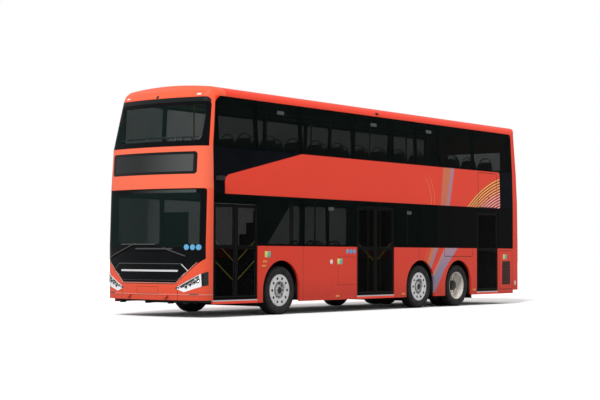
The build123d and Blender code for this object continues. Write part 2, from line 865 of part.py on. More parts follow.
def rim_profile(out_y, dished):
    """Half section of a rim; a dished one has its flat disc at the inner side."""
    in_y = out_y - tyre_width
    inner = rim_radius - barrel_thick
    bore = stub_radius + stub_clear
    rear_in = (inner, in_y + bead_in)
    front_out = [(rim_radius, in_y + bead_in), (rim_radius, out_y - bead_in), (inner, out_y - bead_in)]
    if dished:
        face_y = in_y + bead_in + disc_thick + disc_face_y
        disc = [(inner, face_y), (bore, face_y), (bore, face_y - disc_thick), (inner, face_y - disc_thick)]
    else:
        face_y = out_y - disc_face_y
        dish_y = face_y - dish_depth
        disc = [(inner, face_y), (dish_radius, face_y), (dish_radius, dish_y), (bore, dish_y),
                (bore, dish_y - disc_thick), (dish_radius + disc_thick, dish_y - disc_thick),
                (dish_radius + disc_thick, face_y - disc_thick), (inner, face_y - disc_thick)]
    with BuildLine() as border:
        Polyline(*front_out, *disc, rear_in, close=True)
    make_face(border.edges())


wheels = {}
wheel_table = [("front", front_axle_x, False), ("middle", middle_axle_x, False), ("drive", drive_axle_x, True)]
half_tyre = tyre_width / 2
for name, station, twin in wheel_table:
    for side, word in ((1, "left"), (-1, "right")):
        places = [half_tyre, -half_tyre - twin_gap] if twin else [half_tyre]
        with BuildPart() as tyre:
            for out_y in places:
                add(tyre_ring(out_y))
        with BuildPart() as rim:
            for out_y in places:
                with BuildSketch(Plane.XY):
                    rim_profile(out_y, twin)
                revolve(axis=Axis.Y)
            with BuildSketch(Plane.XZ):
                with PolarLocations(hand_hole_circle, hand_holes):
                    Circle(hand_hole_radius)
            extrude(amount=tyre_width + twin_gap + overrun, both=True, mode=Mode.SUBTRACT)
            bore = stub_radius + stub_clear
            if twin:
                outer_disc = bead_in + disc_thick + disc_face_y - half_tyre
                inner_disc = outer_disc - tyre_width - twin_gap - disc_thick
                bore_end = bead_in + disc_face_y - half_tyre
                round_bar(0, (inner_disc, outer_disc), 0, drum_radius)
                round_bar(0, (outer_disc, outer_disc + drum_nose), 0, drum_nose_radius)
                round_bar(0, (inner_disc - overrun, bore_end), 0, bore, Mode.SUBTRACT)
            else:
                hub_face = half_tyre - disc_face_y - dish_depth
                round_bar(0, (hub_face, hub_face + hub_nose), 0, hub_nose_radius)
        centre_y = tyre_out_y - half_tyre
        turn = 0 if side > 0 else 180
        place = Pos(station, side * centre_y, axle_z) * Rot(0, 0, turn)
        wheels["tyre_" + name + "_" + word] = place * tyre.part
        wheels["rim_" + name + "_" + word] = place * rim.part

# Door leaves: a rim round a cut window, with a mid rail; hinged on posts at the jambs
leaf_outer_y = half_width - 2 * joint_gap
leaf_inner_y = leaf_outer_y - leaf_thick
pane_thick = 8
doors = {}
for name, front, rear, top, leaves in door_table:
    width = (front - rear) / leaves
    for number in range(leaves):
        letter = "ab"[number]
        leaf_front = front - number * width - (jamb_gap if number == 0 else run_gap / 2)
        leaf_rear = front - (number + 1) * width + (jamb_gap if number == leaves - 1 else run_gap / 2)
        pivot_x = leaf_rear + pivot_in if number == leaves - 1 else leaf_front - pivot_in
        with BuildPart() as leaf:
            box_between((leaf_rear, leaf_front), (leaf_inner_y, leaf_outer_y),
                        (floor_z + run_gap, top - run_gap))
            for low, high in ((floor_z + run_gap + leaf_rim, leaf_rail_z - leaf_rim),
                              (leaf_rail_z, top - run_gap - leaf_rim)):
                box_between((leaf_rear + leaf_rim, leaf_front - leaf_rim), (leaf_inner_y, leaf_outer_y),
                            (low, high), Mode.SUBTRACT)
            upright_bar(pivot_x, leaf_inner_y + pivot_in, (floor_z + seat_clear, floor_z + run_gap + leaf_rim),
                        pivot_radius)
            upright_bar(pivot_x, leaf_inner_y + pivot_in, (top - run_gap - leaf_rim, top - seat_clear),
                        pivot_radius)
        with BuildPart() as leaf_glass:
            middle_y = (leaf_inner_y + leaf_outer_y) / 2
            for low, high in ((floor_z + run_gap + leaf_rim, leaf_rail_z - leaf_rim),
                              (leaf_rail_z, top - run_gap - leaf_rim)):
                box_between((leaf_rear + leaf_rim + bond, leaf_front - leaf_rim - bond),
                            (middle_y, middle_y + pane_thick), (low + bond, high - bond))
        doors["door_" + name + "_" + letter] = leaf
        doors["door_" + name + "_" + letter + "_glass"] = leaf_glass

# Sills under the doors
with BuildPart() as door_sills:
    for _, front, rear, _, _ in door_table:
        box_between((rear + half_gap, front - half_gap), (inner_half, half_width - joint_gap),
                    (skirt_z, floor_z))

# Seats: one profile for every double seat; it is set on a floor by its rear edge
seat_width = 860
seat_out_gap = 25
seat_depth = 430
cushion_thick = 90
cushion_z = 430
back_thick = 80
back_lean = 70
back_top_z = 1120
leg_thick = 60
leg_in = 150
row_pitch = 760
upper_row_front_x = 4350
upper_rows = 13


def seat_block(station, y_span, floor_height):
    """Foot, cushion and leaning back of one seat, a bond apart, from its rear station."""
    low, high = y_span
    low_z = cushion_z - cushion_thick
    pieces = [
        [(leg_in, 0), (leg_in + leg_thick, 0), (leg_in + leg_thick, low_z - bond), (leg_in, low_z - bond)],
        [(back_thick + bond, low_z), (seat_depth, cushion_z - cushion_thick / 2), (seat_depth, cushion_z),
         (back_thick + bond, cushion_z)],
        [(0, low_z), (back_thick, low_z), (back_thick - back_lean, back_top_z), (-back_lean, back_top_z)],
    ]
    for outline in pieces:
        with BuildSketch(Plane(origin=(station, high, floor_height), x_dir=(1, 0, 0), z_dir=(0, -1, 0))) as side_view:
            with BuildLine() as border:
                Polyline(*outline, close=True)
            make_face(border.edges())
        extrude(side_view.sketch, amount=high - low)


def seat_rows(table, floor_height):
    """Double seats from a table of rear stations and sides."""
    wall_y = inner_half - seat_out_gap - deck_lean
    for station, side in table:
        seat_block(station, sorted((side * wall_y, side * (wall_y - seat_width))), floor_height)


lower_seat_table = [(2200, 1), (1400, 1), (280, -1), (-480, -1), (-4300, -1), (-4880, -1)]
upper_seat_table = []
for row in range(upper_rows):
    station = upper_row_front_x - row * row_pitch
    upper_seat_table.append((station, 1))
    if station > stair_front_x + back_lean or station + seat_depth < stair_rear_x:
        upper_seat_table.append((station, -1))
driver_seat_x = 4330
driver_seat_y = -760
driver_seat_wide = 480
with BuildPart() as seats_lower:
    seat_rows(lower_seat_table, floor_z)
    seat_block(driver_seat_x, (driver_seat_y - driver_seat_wide / 2, driver_seat_y + driver_seat_wide / 2), floor_z)
with BuildPart() as seats_upper:
    seat_rows(upper_seat_table, upper_floor_z)

# Grab poles between the floors
pole_radius = 17
pole_table = [(3950, 430), (2000, 300), (1150, 300), (1150, -300), (-650, 420), (-2300, 380), (-2300, -380),
              (-3850, -330)]
with BuildPart() as handrails:
    for x, y in pole_table:
        upright_bar(x, y, (floor_z, upper_floor_z - upper_floor_thick), pole_radius)

# Driver's place on the right: dash, partition, column and wheel
dash_front_x = 5390
dash_rear_x = 5150
dash_out_y = -1080
dash_in_y = -380
dash_top_z = 1180
partition_x = 4180
partition_thick = 30
partition_top_z = 2000
partition_in_y = -560
wheel_ring = 225
wheel_tube = 16
column_radius = 30
wheel_x = 5020
wheel_y = -760
wheel_z = 1230
wheel_tilt = 25
column_length = 560
with BuildPart() as driver_cab:
    with BuildSketch(Plane.XZ.offset(-dash_in_y)):
        with BuildLine():
            Polyline((dash_front_x, floor_z), (dash_front_x, dash_top_z), (dash_rear_x + overrun, dash_top_z),
                     (dash_rear_x, dash_top_z - overrun), (dash_rear_x + 2 * overrun, floor_z), close=True)
        make_face()
    extrude(amount=dash_in_y - dash_out_y)
    box_between((partition_x, partition_x + partition_thick), (-inner_half, partition_in_y),
                (floor_z, partition_top_z))
with BuildPart() as steering_wheel:
    column = Plane(origin=(wheel_x, wheel_y, wheel_z), z_dir=(-math.sin(math.radians(wheel_tilt)), 0,
                                                            math.cos(math.radians(wheel_tilt))))
    with BuildSketch(column):
        Circle(column_radius)
    extrude(amount=-column_length)
    with BuildSketch(column):
        Rectangle(2 * wheel_ring, column_radius)
    extrude(amount=-wheel_tube)
    with BuildSketch(column):
        Circle(wheel_ring + wheel_tube)
        Circle(wheel_ring - wheel_tube, mode=Mode.SUBTRACT)
    extrude(amount=-2 * wheel_tube)
    add(driver_cab.part, mode=Mode.SUBTRACT)
with BuildPart() as cab:
    add(driver_cab.part)
    add(steering_wheel.part)

# Camera pods at the front corners, in place of mirrors
pod_x = 5410
pod_z = 2530
pod_length = 120
pod_high = 80
pod_reach = 130
with BuildPart() as camera_pods:
    for side in (1, -1):
        low, high = sorted((side * (half_width - deck_lean), side * (half_width + pod_reach)))
        box_between((pod_x - pod_length / 2, pod_x + pod_length / 2), (low, high), (pod_z, pod_z + pod_high))
    add(outer, mode=Mode.SUBTRACT)

# Side display, hung from the deck behind the first lower window
side_display_front_x = 4020
side_display_rear_x = 3500
side_display_low_z = 1800
side_display_thick = 50
with BuildPart() as displays:
    add(display.part)
    box_between((side_display_rear_x, side_display_front_x),
                (inner_half - side_display_thick - bond, inner_half - bond),
                (side_display_low_z, upper_floor_z - upper_floor_thick - bond))

# Wipers follow the glass: blade from tip to tip, then the arm back to its pivot
blade_high = 24
arm_high = 18
wiper_shell_in = 0.5
# blade ends, arm knee, pivot: sideways place and height
wiper_table = [
    ((-680, 1347), (215, 1347), (-300, 1362), (-1044, 1106)),
    ((-265, 1265), (600, 1265), (415, 1280), (880, 1134)),
]


def slanted_bar(start, end, thick):
    """A straight bar between two points of an open sketch."""
    (from_y, from_z), (to_y, to_z) = start, end
    reach = math.hypot(to_y - from_y, to_z - from_z)
    turn = math.degrees(math.atan2(to_z - from_z, to_y - from_y))
    with Locations(Location(((from_y + to_y) / 2, (from_z + to_z) / 2, 0), (0, 0, turn))):
        SlotOverall(reach + thick, thick)


with BuildPart() as wipers:
    with BuildSketch(Plane.YZ.offset(nose_split_x)):
        for tip, heel, knee, pivot in wiper_table:
            slanted_bar(tip, heel, blade_high)
            slanted_bar(knee, pivot, arm_high)
    extrude(amount=body_width)
    add(envelope(-wiper_stand), mode=Mode.INTERSECT)
    add(envelope(-wiper_shell_in), mode=Mode.SUBTRACT)

# Bright trim on the black panel: the long line, its slanted ends and the bar below
trim_line = 14
trim_line_z = 990
trim_line_half = 780
trim_end_half = 925
trim_end_z = 860
trim_bar_high = 34
trim_bar_half = 700
trim_stand = 8
with BuildPart() as front_trim:
    with BuildSketch(Plane.YZ.offset(nose_split_x)):
        slanted_bar((-trim_line_half, trim_line_z), (trim_line_half, trim_line_z), trim_line)
        slanted_bar((trim_line_half, trim_line_z), (trim_end_half, trim_end_z), trim_line)
        slanted_bar((-trim_line_half, trim_line_z), (-trim_end_half, trim_end_z), trim_line)
        slanted_bar((-trim_bar_half, trim_end_z), (trim_bar_half, trim_end_z), trim_bar_high)
    extrude(amount=body_width)
    add(envelope(-trim_stand), mode=Mode.INTERSECT)
    add(envelope(-wiper_shell_in), mode=Mode.SUBTRACT)

parts = {
    "left_panels": left_panels, "right_panels": right_panels, "quarter_panels": quarter_panels,
    "left_window_frame": left_frame, "right_window_frame": right_frame,
    "left_glass": left_glass, "right_glass": right_glass, "roof": roof, "front_cap": front_cap,
    "windscreen_frames": windscreen_frames, "windscreens": windscreens, "front_pillars": front_pillars,
    "front_band": front_band,
    "displays": displays, "front_panel": front_panel, "bumper": bumper,
    "headlamps": headlamps, "rear_wall": rear_wall, "rear_window": rear_window,
    "bay_flap": bay_flap, "tail_lamps": tail_lamps, "lower_floor": lower_floor,
    "wheel_wells": wheel_wells, "upper_floor": upper_floor, "staircase": staircase,
    "chassis_frame": chassis_frame, "battery_pack": battery_pack, "axle_beams": axle_beams,
    "door_sills": door_sills, "seats_lower": seats_lower, "seats_upper": seats_upper,
    "handrails": handrails, "driver_cab": cab,
    "camera_pods": camera_pods, "wipers": wipers, "front_trim": front_trim,
}
parts.update(knuckles)
parts.update(doors)
os.makedirs("parts", exist_ok=True)
for part_name, piece in parts.items():
    piece.part.label = part_name
    export_step(piece.part, "parts/" + part_name + ".step")
for part_name, solid in wheels.items():
    solid.label = part_name
    export_step(solid, "parts/" + part_name + ".step")
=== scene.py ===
"""Electric double-deck city bus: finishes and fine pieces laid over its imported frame."""
import logging
import math
from contextlib import contextmanager
from dataclasses import dataclass
from enum import Enum
from typing import Callable, Iterable, Iterator, Optional, Sequence, Union

import bpy
from mathutils import Matrix, Vector


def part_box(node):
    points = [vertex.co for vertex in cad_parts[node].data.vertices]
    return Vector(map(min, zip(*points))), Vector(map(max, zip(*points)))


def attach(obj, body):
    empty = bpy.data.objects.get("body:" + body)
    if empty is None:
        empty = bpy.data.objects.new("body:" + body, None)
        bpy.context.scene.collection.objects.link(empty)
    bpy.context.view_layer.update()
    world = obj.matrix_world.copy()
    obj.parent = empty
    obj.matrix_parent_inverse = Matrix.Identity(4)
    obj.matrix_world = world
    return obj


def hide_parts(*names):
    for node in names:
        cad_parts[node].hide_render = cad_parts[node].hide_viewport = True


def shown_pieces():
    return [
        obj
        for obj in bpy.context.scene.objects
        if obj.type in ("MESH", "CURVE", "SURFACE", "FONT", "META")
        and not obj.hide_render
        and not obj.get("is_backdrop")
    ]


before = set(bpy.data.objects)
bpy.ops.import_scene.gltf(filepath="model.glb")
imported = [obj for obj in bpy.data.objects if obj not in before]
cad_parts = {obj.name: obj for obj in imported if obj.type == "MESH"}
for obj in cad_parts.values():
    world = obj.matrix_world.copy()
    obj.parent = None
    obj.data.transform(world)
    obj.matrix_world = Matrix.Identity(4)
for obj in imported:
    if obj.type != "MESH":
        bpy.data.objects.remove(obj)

log = logging.getLogger("bus")
Point = tuple[float, float, float]
Colour = tuple[float, float, float]
Line = tuple[tuple[float, float], tuple[float, float]]
Piece = bpy.types.Object
Finish = bpy.types.Material
Socket = bpy.types.NodeSocket


def toned(colour: Colour, share: float) -> Colour:
    """A colour with every part multiplied by a share."""
    return tuple(share * part for part in colour)


class Value:
    """One number on a surface, with the arithmetic that builds Math nodes."""

    def __init__(self, graph: "Graph", socket: Union[float, Socket]) -> None:
        """Wraps a socket or a plain number."""
        self.graph, self.socket = graph, socket

    def math(self, operation: str, *others: "Number") -> "Value":
        """Adds one Math node.

        Args:
            operation: the node's operation.
            others: its second and third inputs.

        Returns:
            The result as a value.
        """
        inputs = {0: self}
        inputs.update({number + 1: other for number, other in enumerate(others)})
        node = self.graph.node("ShaderNodeMath", {"operation": operation}, inputs)
        return Value(self.graph, node.outputs[0])

    def _made(operation: str) -> Callable[..., "Value"]:
        """A method that adds one Math node of an operation."""
        def method(self: "Value", *others: "Number") -> "Value":
            """The operation's result."""
            return self.math(operation, *others)
        return method

    __add__ = __radd__ = _made("ADD")
    __mul__ = __rmul__ = _made("MULTIPLY")
    __sub__, __truediv__ = _made("SUBTRACT"), _made("DIVIDE")
    __gt__, __lt__ = _made("GREATER_THAN"), _made("LESS_THAN")
    __abs__, root, part = _made("ABSOLUTE"), _made("SQRT"), _made("FRACT")
    least, most = _made("MINIMUM"), _made("MAXIMUM")

    def __rsub__(self, other: float) -> "Value":
        """Difference from a number."""
        return Value(self.graph, other) - self

    def fade(self, low: float, high: float) -> "Value":
        """0 below low and 1 above high, smooth between."""
        node = self.graph.node("ShaderNodeMapRange", {"interpolation_type": "SMOOTHSTEP"},
                               {"Value": self, "From Min": low, "From Max": high})
        return Value(self.graph, node.outputs["Result"])

    def under(self, low: float, high: float) -> "Value":
        """1 below low and 0 above high, smooth between."""
        return 1.0 - self.fade(low, high)

    def line(self, near: float, far: float) -> "Value":
        """1 where this is near 0, fading out to either side."""
        return abs(self).under(near, far)


Number = Union[Value, float]
Mask = Callable[["Graph"], Value]


class Graph:
    """A material's node tree with the coordinates every finish reads."""

    def __init__(self, name: str) -> None:
        """Starts an empty material with its output."""
        self.material = bpy.data.materials.new(name)
        self.material.use_nodes = True
        self.tree = self.material.node_tree
        self.tree.nodes.clear()
        self.output = self.tree.nodes.new("ShaderNodeOutputMaterial")
        self.place = self.node("ShaderNodeTexCoord", {}, {}).outputs["Object"]
        split = self.node("ShaderNodeSeparateXYZ", {}, {"Vector": self.place})
        self.x, self.y, self.z = (Value(self, split.outputs[axis]) for axis in "XYZ")

    def node(self, kind: str, settings: dict, inputs: dict) -> bpy.types.Node:
        """Adds a node.

        Args:
            kind: the node's type.
            settings: what is set on the node itself; "stops" are a ramp's places and colours.
            inputs: values or links, by the socket's name or number.

        Returns:
            The node.
        """
        node = self.tree.nodes.new(kind)
        for key, value in settings.items():
            if key == "stops":
                while len(node.color_ramp.elements) < len(value):
                    node.color_ramp.elements.new(0.5)
                for element, (place, colour) in zip(node.color_ramp.elements, value):
                    element.position, element.color = place, (*colour, 1.0)
            else:
                setattr(node, key, value)
        for key, value in inputs.items():
            value = value.socket if isinstance(value, Value) else value
            if isinstance(value, Socket):
                self.tree.links.new(value, node.inputs[key])
            elif isinstance(value, tuple) and len(value) == 3 and node.inputs[key].type == "RGBA":
                node.inputs[key].default_value = (*value, 1.0)
            else:
                node.inputs[key].default_value = value
        return node

    def noise(self, scale: float, detail: float = 3.0) -> Value:
        """Even noise around one half."""
        node = self.node("ShaderNodeTexNoise", {}, {"Vector": self.place, "Scale": scale, "Detail": detail})
        return Value(self, node.outputs["Fac"])

    def cells(self, scale: float) -> Value:
        """Distance to the nearest cell's centre."""
        node = self.node("ShaderNodeTexVoronoi", {}, {"Vector": self.place, "Scale": scale})
        return Value(self, node.outputs["Distance"])

    def blend(self, share: Number, low: object, high: object) -> Socket:
        """A colour between two colours."""
        node = self.node("ShaderNodeMix", {"data_type": "RGBA"}, {0: share, 6: low, 7: high})
        return node.outputs[2]

    def bump(self, height: Number, strength: float, depth: float) -> Socket:
        """A normal from a height between 0 and 1."""
        node = self.node("ShaderNodeBump", {}, {"Height": height, "Strength": strength, "Distance": depth})
        return node.outputs[0]

    def box(self, x_span: tuple[float, float], z_span: tuple[float, float], radius: float = 0.02) -> Value:
        """Signed distance from a round-cornered rectangle seen from the side, below 0 inside."""
        (rear, front), (low, high) = x_span, z_span
        return self.rounded(self.x, self.z, (rear, front), (low, high), radius)

    def rounded(self, across: Value, up: Value, span: tuple[float, float], rise: tuple[float, float],
                radius: float) -> Value:
        """Signed distance from a round-cornered rectangle in any two coordinates."""
        (left, right), (low, high) = span, rise
        dx = abs(across - (left + right) / 2) - ((right - left) / 2 - radius)
        dz = abs(up - (low + high) / 2) - ((high - low) / 2 - radius)
        out_x, out_z = dx.most(0.0), dz.most(0.0)
        return (out_x * out_x + out_z * out_z).root() + dx.most(dz).least(0.0) - radius

    def left_of(self, start: tuple[float, float], end: tuple[float, float]) -> Value:
        """Distance ahead (towards +X) of a line through two side points."""
        (x0, z0), (x1, z1) = start, end
        length = math.hypot(x1 - x0, z1 - z0)
        sign = 1.0 if z1 < z0 else -1.0
        nx, nz = -(z1 - z0) / length * sign, (x1 - x0) / length * sign
        return self.x * nx + self.z * nz - (x0 * nx + z0 * nz)

    def ring(self, x0: float, z0: float) -> Value:
        """Distance from a point of the side plane."""
        dx, dz = self.x - x0, self.z - z0
        return (dx * dx + dz * dz).root()

    def surface(self, colour: object, rough: Number, metal: Number = 0.0, normal: Optional[object] = None,
                **more: object) -> Finish:
        """Ends the tree in a Principled shader.

        Args:
            colour: base colour, a tuple or a socket.
            rough: roughness.
            metal: metallic share.
            normal: a Bump node's output, if any.
            more: other sockets, with underscores for spaces.

        Returns:
            The finished material.
        """
        inputs = {"Base Color": colour, "Roughness": rough, "Metallic": metal}
        if normal is not None:
            inputs["Normal"] = normal
        inputs.update({key.replace("_", " "): value for key, value in more.items()})
        shader = self.node("ShaderNodeBsdfPrincipled", {}, inputs)
        self.tree.links.new(shader.outputs[0], self.output.inputs[0])
        return self.material


NOSE_EAVES = 5.39
AXLE_Z = 0.473
ORANGE: Colour = (0.78, 0.20, 0.06)
LILAC: Colour = (0.36, 0.27, 0.36)
SLATE: Colour = (0.20, 0.28, 0.42)


@dataclass(frozen=True)
class BodyPaint:
    """Gloss coach paint with a faint orange peel, road film low down and painted shade that darkens it towards
    the bottom.
    """

    name: str = "coach_red"
    colour: Colour = (0.86, 0.053, 0.022)
    peel: float = 190.0

    def coat(self, graph: Graph, colour: object, line: Optional[Value] = None) -> Finish:
        """Finishes a paint.

        Args:
            graph: the material's graph.
            colour: its colour before road film.
            line: 1 on a sunk seam.

        Returns:
            The finished material.
        """
        film = graph.z.under(0.25, 0.75) * (0.35 + 0.5 * graph.noise(6.0))
        # low is painted shade: the paint grows darker towards the bottom over the whole height; film is road
        # dirt near the road.
        low = graph.z.under(0.2, 3.2)
        colour = graph.blend((film * 0.35 + low * 0.25).least(1.0), colour, (0.26, 0.014, 0.009))
        rough = 0.2 + 0.06 * graph.noise(14.0) + film * 0.2
        height = 0.12 * graph.noise(self.peel, 2.0)
        if line is not None:
            colour = graph.blend(line, colour, (0.03, 0.006, 0.005))
            height = height - line * 0.8
        return graph.surface(colour, rough, 0.0, graph.bump(height, 0.25, 0.002),
                             Coat_Weight=0.3, Coat_Roughness=0.08, Specular_IOR_Level=0.2)

    def mottled(self, graph: Graph, share: float = 0.3, deep: float = 0.8, scale: float = 1.3) -> Socket:
        """The paint's colour with wide faint patches of a deeper one."""
        return graph.blend(graph.noise(scale) * share, self.colour, toned(self.colour, deep))

    def build(self) -> Finish:
        """Plain paint."""
        graph = Graph(self.name)
        return self.coat(graph, self.mottled(graph))


@dataclass(frozen=True)
class NosePaint(BodyPaint):
    """Paint of the nose, with the bumper's seams, a painted highlight along its crease, painted shade just
    under it and the bare plate panel.
    """

    name: str = "nose_red"
    colour: Colour = (0.90, 0.108, 0.046)
    crease_z: float = 0.425

    def build(self) -> Finish:
        """Red with sunk seams, a painted highlight along the crease and a painted shade line just under it."""
        graph = Graph(self.name)
        shade = self.mottled(graph, 0.2, 0.85)
        low = graph.z.under(0.6, 0.602)
        upright = (abs(graph.y) - 0.70).line(0.003, 0.006)
        plate = graph.rounded(graph.y, graph.z, (-0.27, 0.27), (0.435, 0.565), 0.012).line(0.002, 0.004)
        # Painted highlight: a pale line along the crease.
        crease_highlight = (graph.z - self.crease_z).line(0.004, 0.012) * low
        shade = graph.blend(crease_highlight * 0.7, shade, (0.95, 0.42, 0.36))
        # Painted shade: a dark line just under the crease, also sunk a little like a seam.
        under = (graph.z - self.crease_z + 0.018).line(0.004, 0.010) * low * 0.35
        return self.coat(graph, shade, ((upright + plate).least(1.0) * low).most(under))


@dataclass(frozen=True)
class StepPaint(BodyPaint):
    """Paint under a door, with the bright edge of its step."""

    name: str = "step_red"
    edge_z: float = 0.298

    def build(self) -> Finish:
        """Red below a bright edge."""
        graph = Graph(self.name)
        edge = graph.z.fade(self.edge_z - 0.002, self.edge_z + 0.002)
        grain = graph.noise(120.0)
        colour = graph.blend(edge, self.colour, (0.72, 0.72, 0.73))
        return graph.surface(colour, 0.28 + 0.1 * grain, edge * 0.5, graph.bump(grain, 0.1, 0.0006))


@dataclass(frozen=True)
class CapPaint(BodyPaint):
    """Paint of the brow, with the dark head of the upper windscreen reaching into it."""

    name: str = "brow_red"
    colour: Colour = (0.90, 0.108, 0.046)
    head_z: float = 4.085
    head_half: float = 1.13

    def build(self) -> Finish:
        """Red over a dark round-cornered head."""
        graph = Graph(self.name)
        shade = self.mottled(graph, 0.3, 0.85)
        head = graph.rounded(graph.y, graph.z, (-self.head_half, self.head_half), (3.6, self.head_z), 0.09)
        dark = head.under(-0.003, 0.003) * (graph.x > 5.3)
        return self.coat(graph, graph.blend(dark, shade, (0.008, 0.010, 0.011)))


@dataclass(frozen=True)
class SidePaint(BodyPaint):
    """Paint of a side, with its stripes, arcs, seams and hatches in place."""

    name: str = "side_red"
    arc_centre: tuple[float, float] = (-5.872, -0.799)
    arc_out: float = 3.9
    arc_in: float = 3.19
    arc_pitch: float = 0.064
    curve_centre: tuple[float, float] = (-1.2486, 2.3752)
    curve_reaches: tuple[float, float] = (0.687, 0.822)
    edge: float = 0.004
    split_z: float = 2.25
    band_low_z: float = 2.29

    def between(self, graph: Graph, front: Value, *rears: Line) -> Value:
        """1 from a stripe's front edge back to the foremost of its rear edges."""
        back = graph.left_of(*rears[0])
        for line in rears[1:]:
            back = back.most(graph.left_of(*line))
        return front.under(-self.edge, self.edge) * back.fade(-self.edge, self.edge)

    def bands(self, graph: Graph, colour: object) -> object:
        """The slanted stripes of both levels, over a colour."""
        upper = graph.z > self.split_z
        lower = 1.0 - upper
        front = graph.left_of((-2.470, 3.137), (-2.315, 2.297))
        middle = graph.left_of((-2.784, 3.142), (-2.548, 2.298))
        mask = self.between(graph, front, ((-2.943, 3.140), (-2.705, 2.288))) * upper
        streak = graph.noise(3.0, 2.0) * 0.25
        tone = graph.blend(middle.fade(-0.1, 0.06), LILAC, (0.62, 0.19, 0.09))
        colour = graph.blend(mask * (0.95 - streak), colour, tone)
        front = graph.left_of((-1.933, 1.321), (-1.744, 0.996))
        middle = graph.left_of((-2.06, 1.322), (-1.85, 0.93))
        mask = self.between(graph, front, ((-2.219, 1.322), (-1.914, 0.854))) * lower
        tone = graph.blend(middle.fade(-0.05, 0.03), LILAC, (0.70, 0.22, 0.08))
        colour = graph.blend(mask * 0.95, colour, tone)
        hatch = ((front - 0.012) / 0.042).part()
        lines = (hatch - 0.5).line(0.08, 0.14) * (front - 0.075).line(0.058, 0.062) * lower
        colour = graph.blend(lines * (graph.x < -1.0) * 0.85, colour, ORANGE)
        front = graph.left_of((-2.49, 1.324), (-2.03, 0.78))
        mask = self.between(graph, front, ((-3.063, 1.327), (-2.549, 0.892)), ((-2.63, 1.02), (-2.067, 0.31)))
        tone = graph.blend(graph.z.fade(0.6, 1.35), SLATE, (0.42, 0.32, 0.45))
        tone = graph.blend(front.line(0.02, 0.07), tone, (0.72, 0.30, 0.20))
        return graph.blend(mask * lower * 0.93, colour, tone)

    def arcs(self, graph: Graph, colour: object) -> object:
        """The fan of thin arcs at the tail and the two thin curves ahead of it."""
        reach = graph.ring(*self.arc_centre)
        saw = ((self.arc_out - reach) / self.arc_pitch).part()
        zone = (reach < self.arc_out) * (reach > self.arc_in) * (graph.z > self.band_low_z) * (graph.x < -3.4)
        colour = graph.blend(zone * 0.8, colour, (0.42, 0.012, 0.008))
        outward = reach.fade(self.arc_in + 0.2, self.arc_out - 0.15)
        tone = graph.blend(outward, (1.0, 0.62, 0.60), (1.0, 0.62, 0.16))
        colour = graph.blend((saw - 0.3).line(0.15, 0.22) * zone, colour, tone)
        near = graph.ring(*self.curve_centre)
        inner, outer = ((near - reach).line(0.006, 0.011) for reach in self.curve_reaches)
        zone = (graph.x < -1.6) * (graph.z > self.band_low_z) * graph.z.under(2.80, 2.98)
        return graph.blend(inner.most(outer) * zone * 0.8, colour, (0.85, 0.24, 0.09))

    def seams(self, graph: Graph) -> Value:
        """1 on the seams, hatch edges and flap edges of a side."""
        low, high = graph.z.under(1.4, 1.41), graph.z.fade(2.2, 2.21)
        line = sum(((graph.x - place).line(0.002, 0.005) * low for place in (2.806, -1.427)),
                   start=Value(graph, 0.0))
        frames = [((-4.87, -3.998), (2.30, 3.112), high), ((-3.734, -2.491), (1.141, 1.40), low),
                  ((-5.60, -4.97), (0.36, 1.276), low), ((0.98, 1.62), (0.55, 1.12), low * 0.5)]
        for x_span, z_span, share in frames:
            line = line.most(graph.box(x_span, z_span).line(0.004, 0.009) * share)
        return line.least(1.0)

    def build(self) -> Finish:
        """Red with everything the side carries."""
        graph = Graph(self.name)
        shade = self.arcs(graph, self.bands(graph, self.mottled(graph, scale=0.9)))
        corner = graph.box((-5.016, 6.2), (2.291, 3.155), 0.055)
        black = (corner > 0.0) * (graph.z > self.split_z)
        shade = graph.blend(black, shade, (0.006, 0.007, 0.009))
        return self.coat(graph, shade, self.seams(graph) * (1.0 - black))


@dataclass(frozen=True)
class Gloss:
    """Deep gloss black with a faint tone, for panels and frames behind glass."""

    name: str
    colour: Colour = (0.006, 0.007, 0.008)
    rough: float = 0.16
    grain: float = 60.0
    gleam: float = 0.3
    corners: Optional[Mask] = None

    def build(self) -> Finish:
        """Black with faint smears and dust, and body red where its corners are cut off."""
        graph = Graph(self.name)
        dust = graph.noise(self.grain, 4.0)
        smear = graph.noise(2.2).fade(0.35, 0.7)
        lighter = tuple(1.35 * part + 0.002 for part in self.colour)
        height = 0.2 * dust
        colour = graph.blend(dust * smear, self.colour, lighter)
        if self.corners is not None:
            colour = graph.blend(self.corners(graph), colour, BodyPaint.colour)
        return graph.surface(colour, self.rough + 0.1 * smear * dust, 0.0,
                             graph.bump(height, 0.12, 0.001), Specular_IOR_Level=self.gleam)


@dataclass(frozen=True)
class Glass:
    """Tinted safety glass, opaque on a printed border and on cut corners where these are given."""

    name: str
    tint: Colour = (0.012, 0.020, 0.018)
    cover: float = 0.8
    border: Optional[Mask] = None
    edge_tone: Callable[[Graph], object] = lambda graph: (0.003, 0.0034, 0.004)
    corners: Optional[Mask] = None
    low_cover: float = 0.0
    sheen: float = 0.04

    def build(self) -> Finish:
        """Glass that covers more at a low angle, low on the bus and on its printed border."""
        graph = Graph(self.name)
        grime = graph.noise(3.0, 4.0).fade(0.4, 0.8)
        gleam = Value(graph, graph.node("ShaderNodeFresnel", {}, {"IOR": 1.45}).outputs[0])
        cover = (self.cover + 0.04 * grime + gleam * 0.3).least(1.0)
        if self.low_cover:
            cover = (cover + graph.z.under(2.4, 2.5) * self.low_cover).least(1.0)
        colour = graph.blend(grime * 0.5, self.tint, toned(self.tint, 1.4))
        if self.border is not None:
            edge = self.border(graph)
            cover = cover.most(edge)
            colour = graph.blend(edge, colour, self.edge_tone(graph))
        if self.corners is not None:
            cut = self.corners(graph)
            cover = cover.most(cut)
            colour = graph.blend(cut, colour, BodyPaint.colour)
        return graph.surface(colour, 0.03 + 0.05 * grime, 0.0, graph.bump(graph.noise(1.6) * 0.4, 0.05, 0.01),
                             Alpha=cover, Specular_IOR_Level=self.sheen)


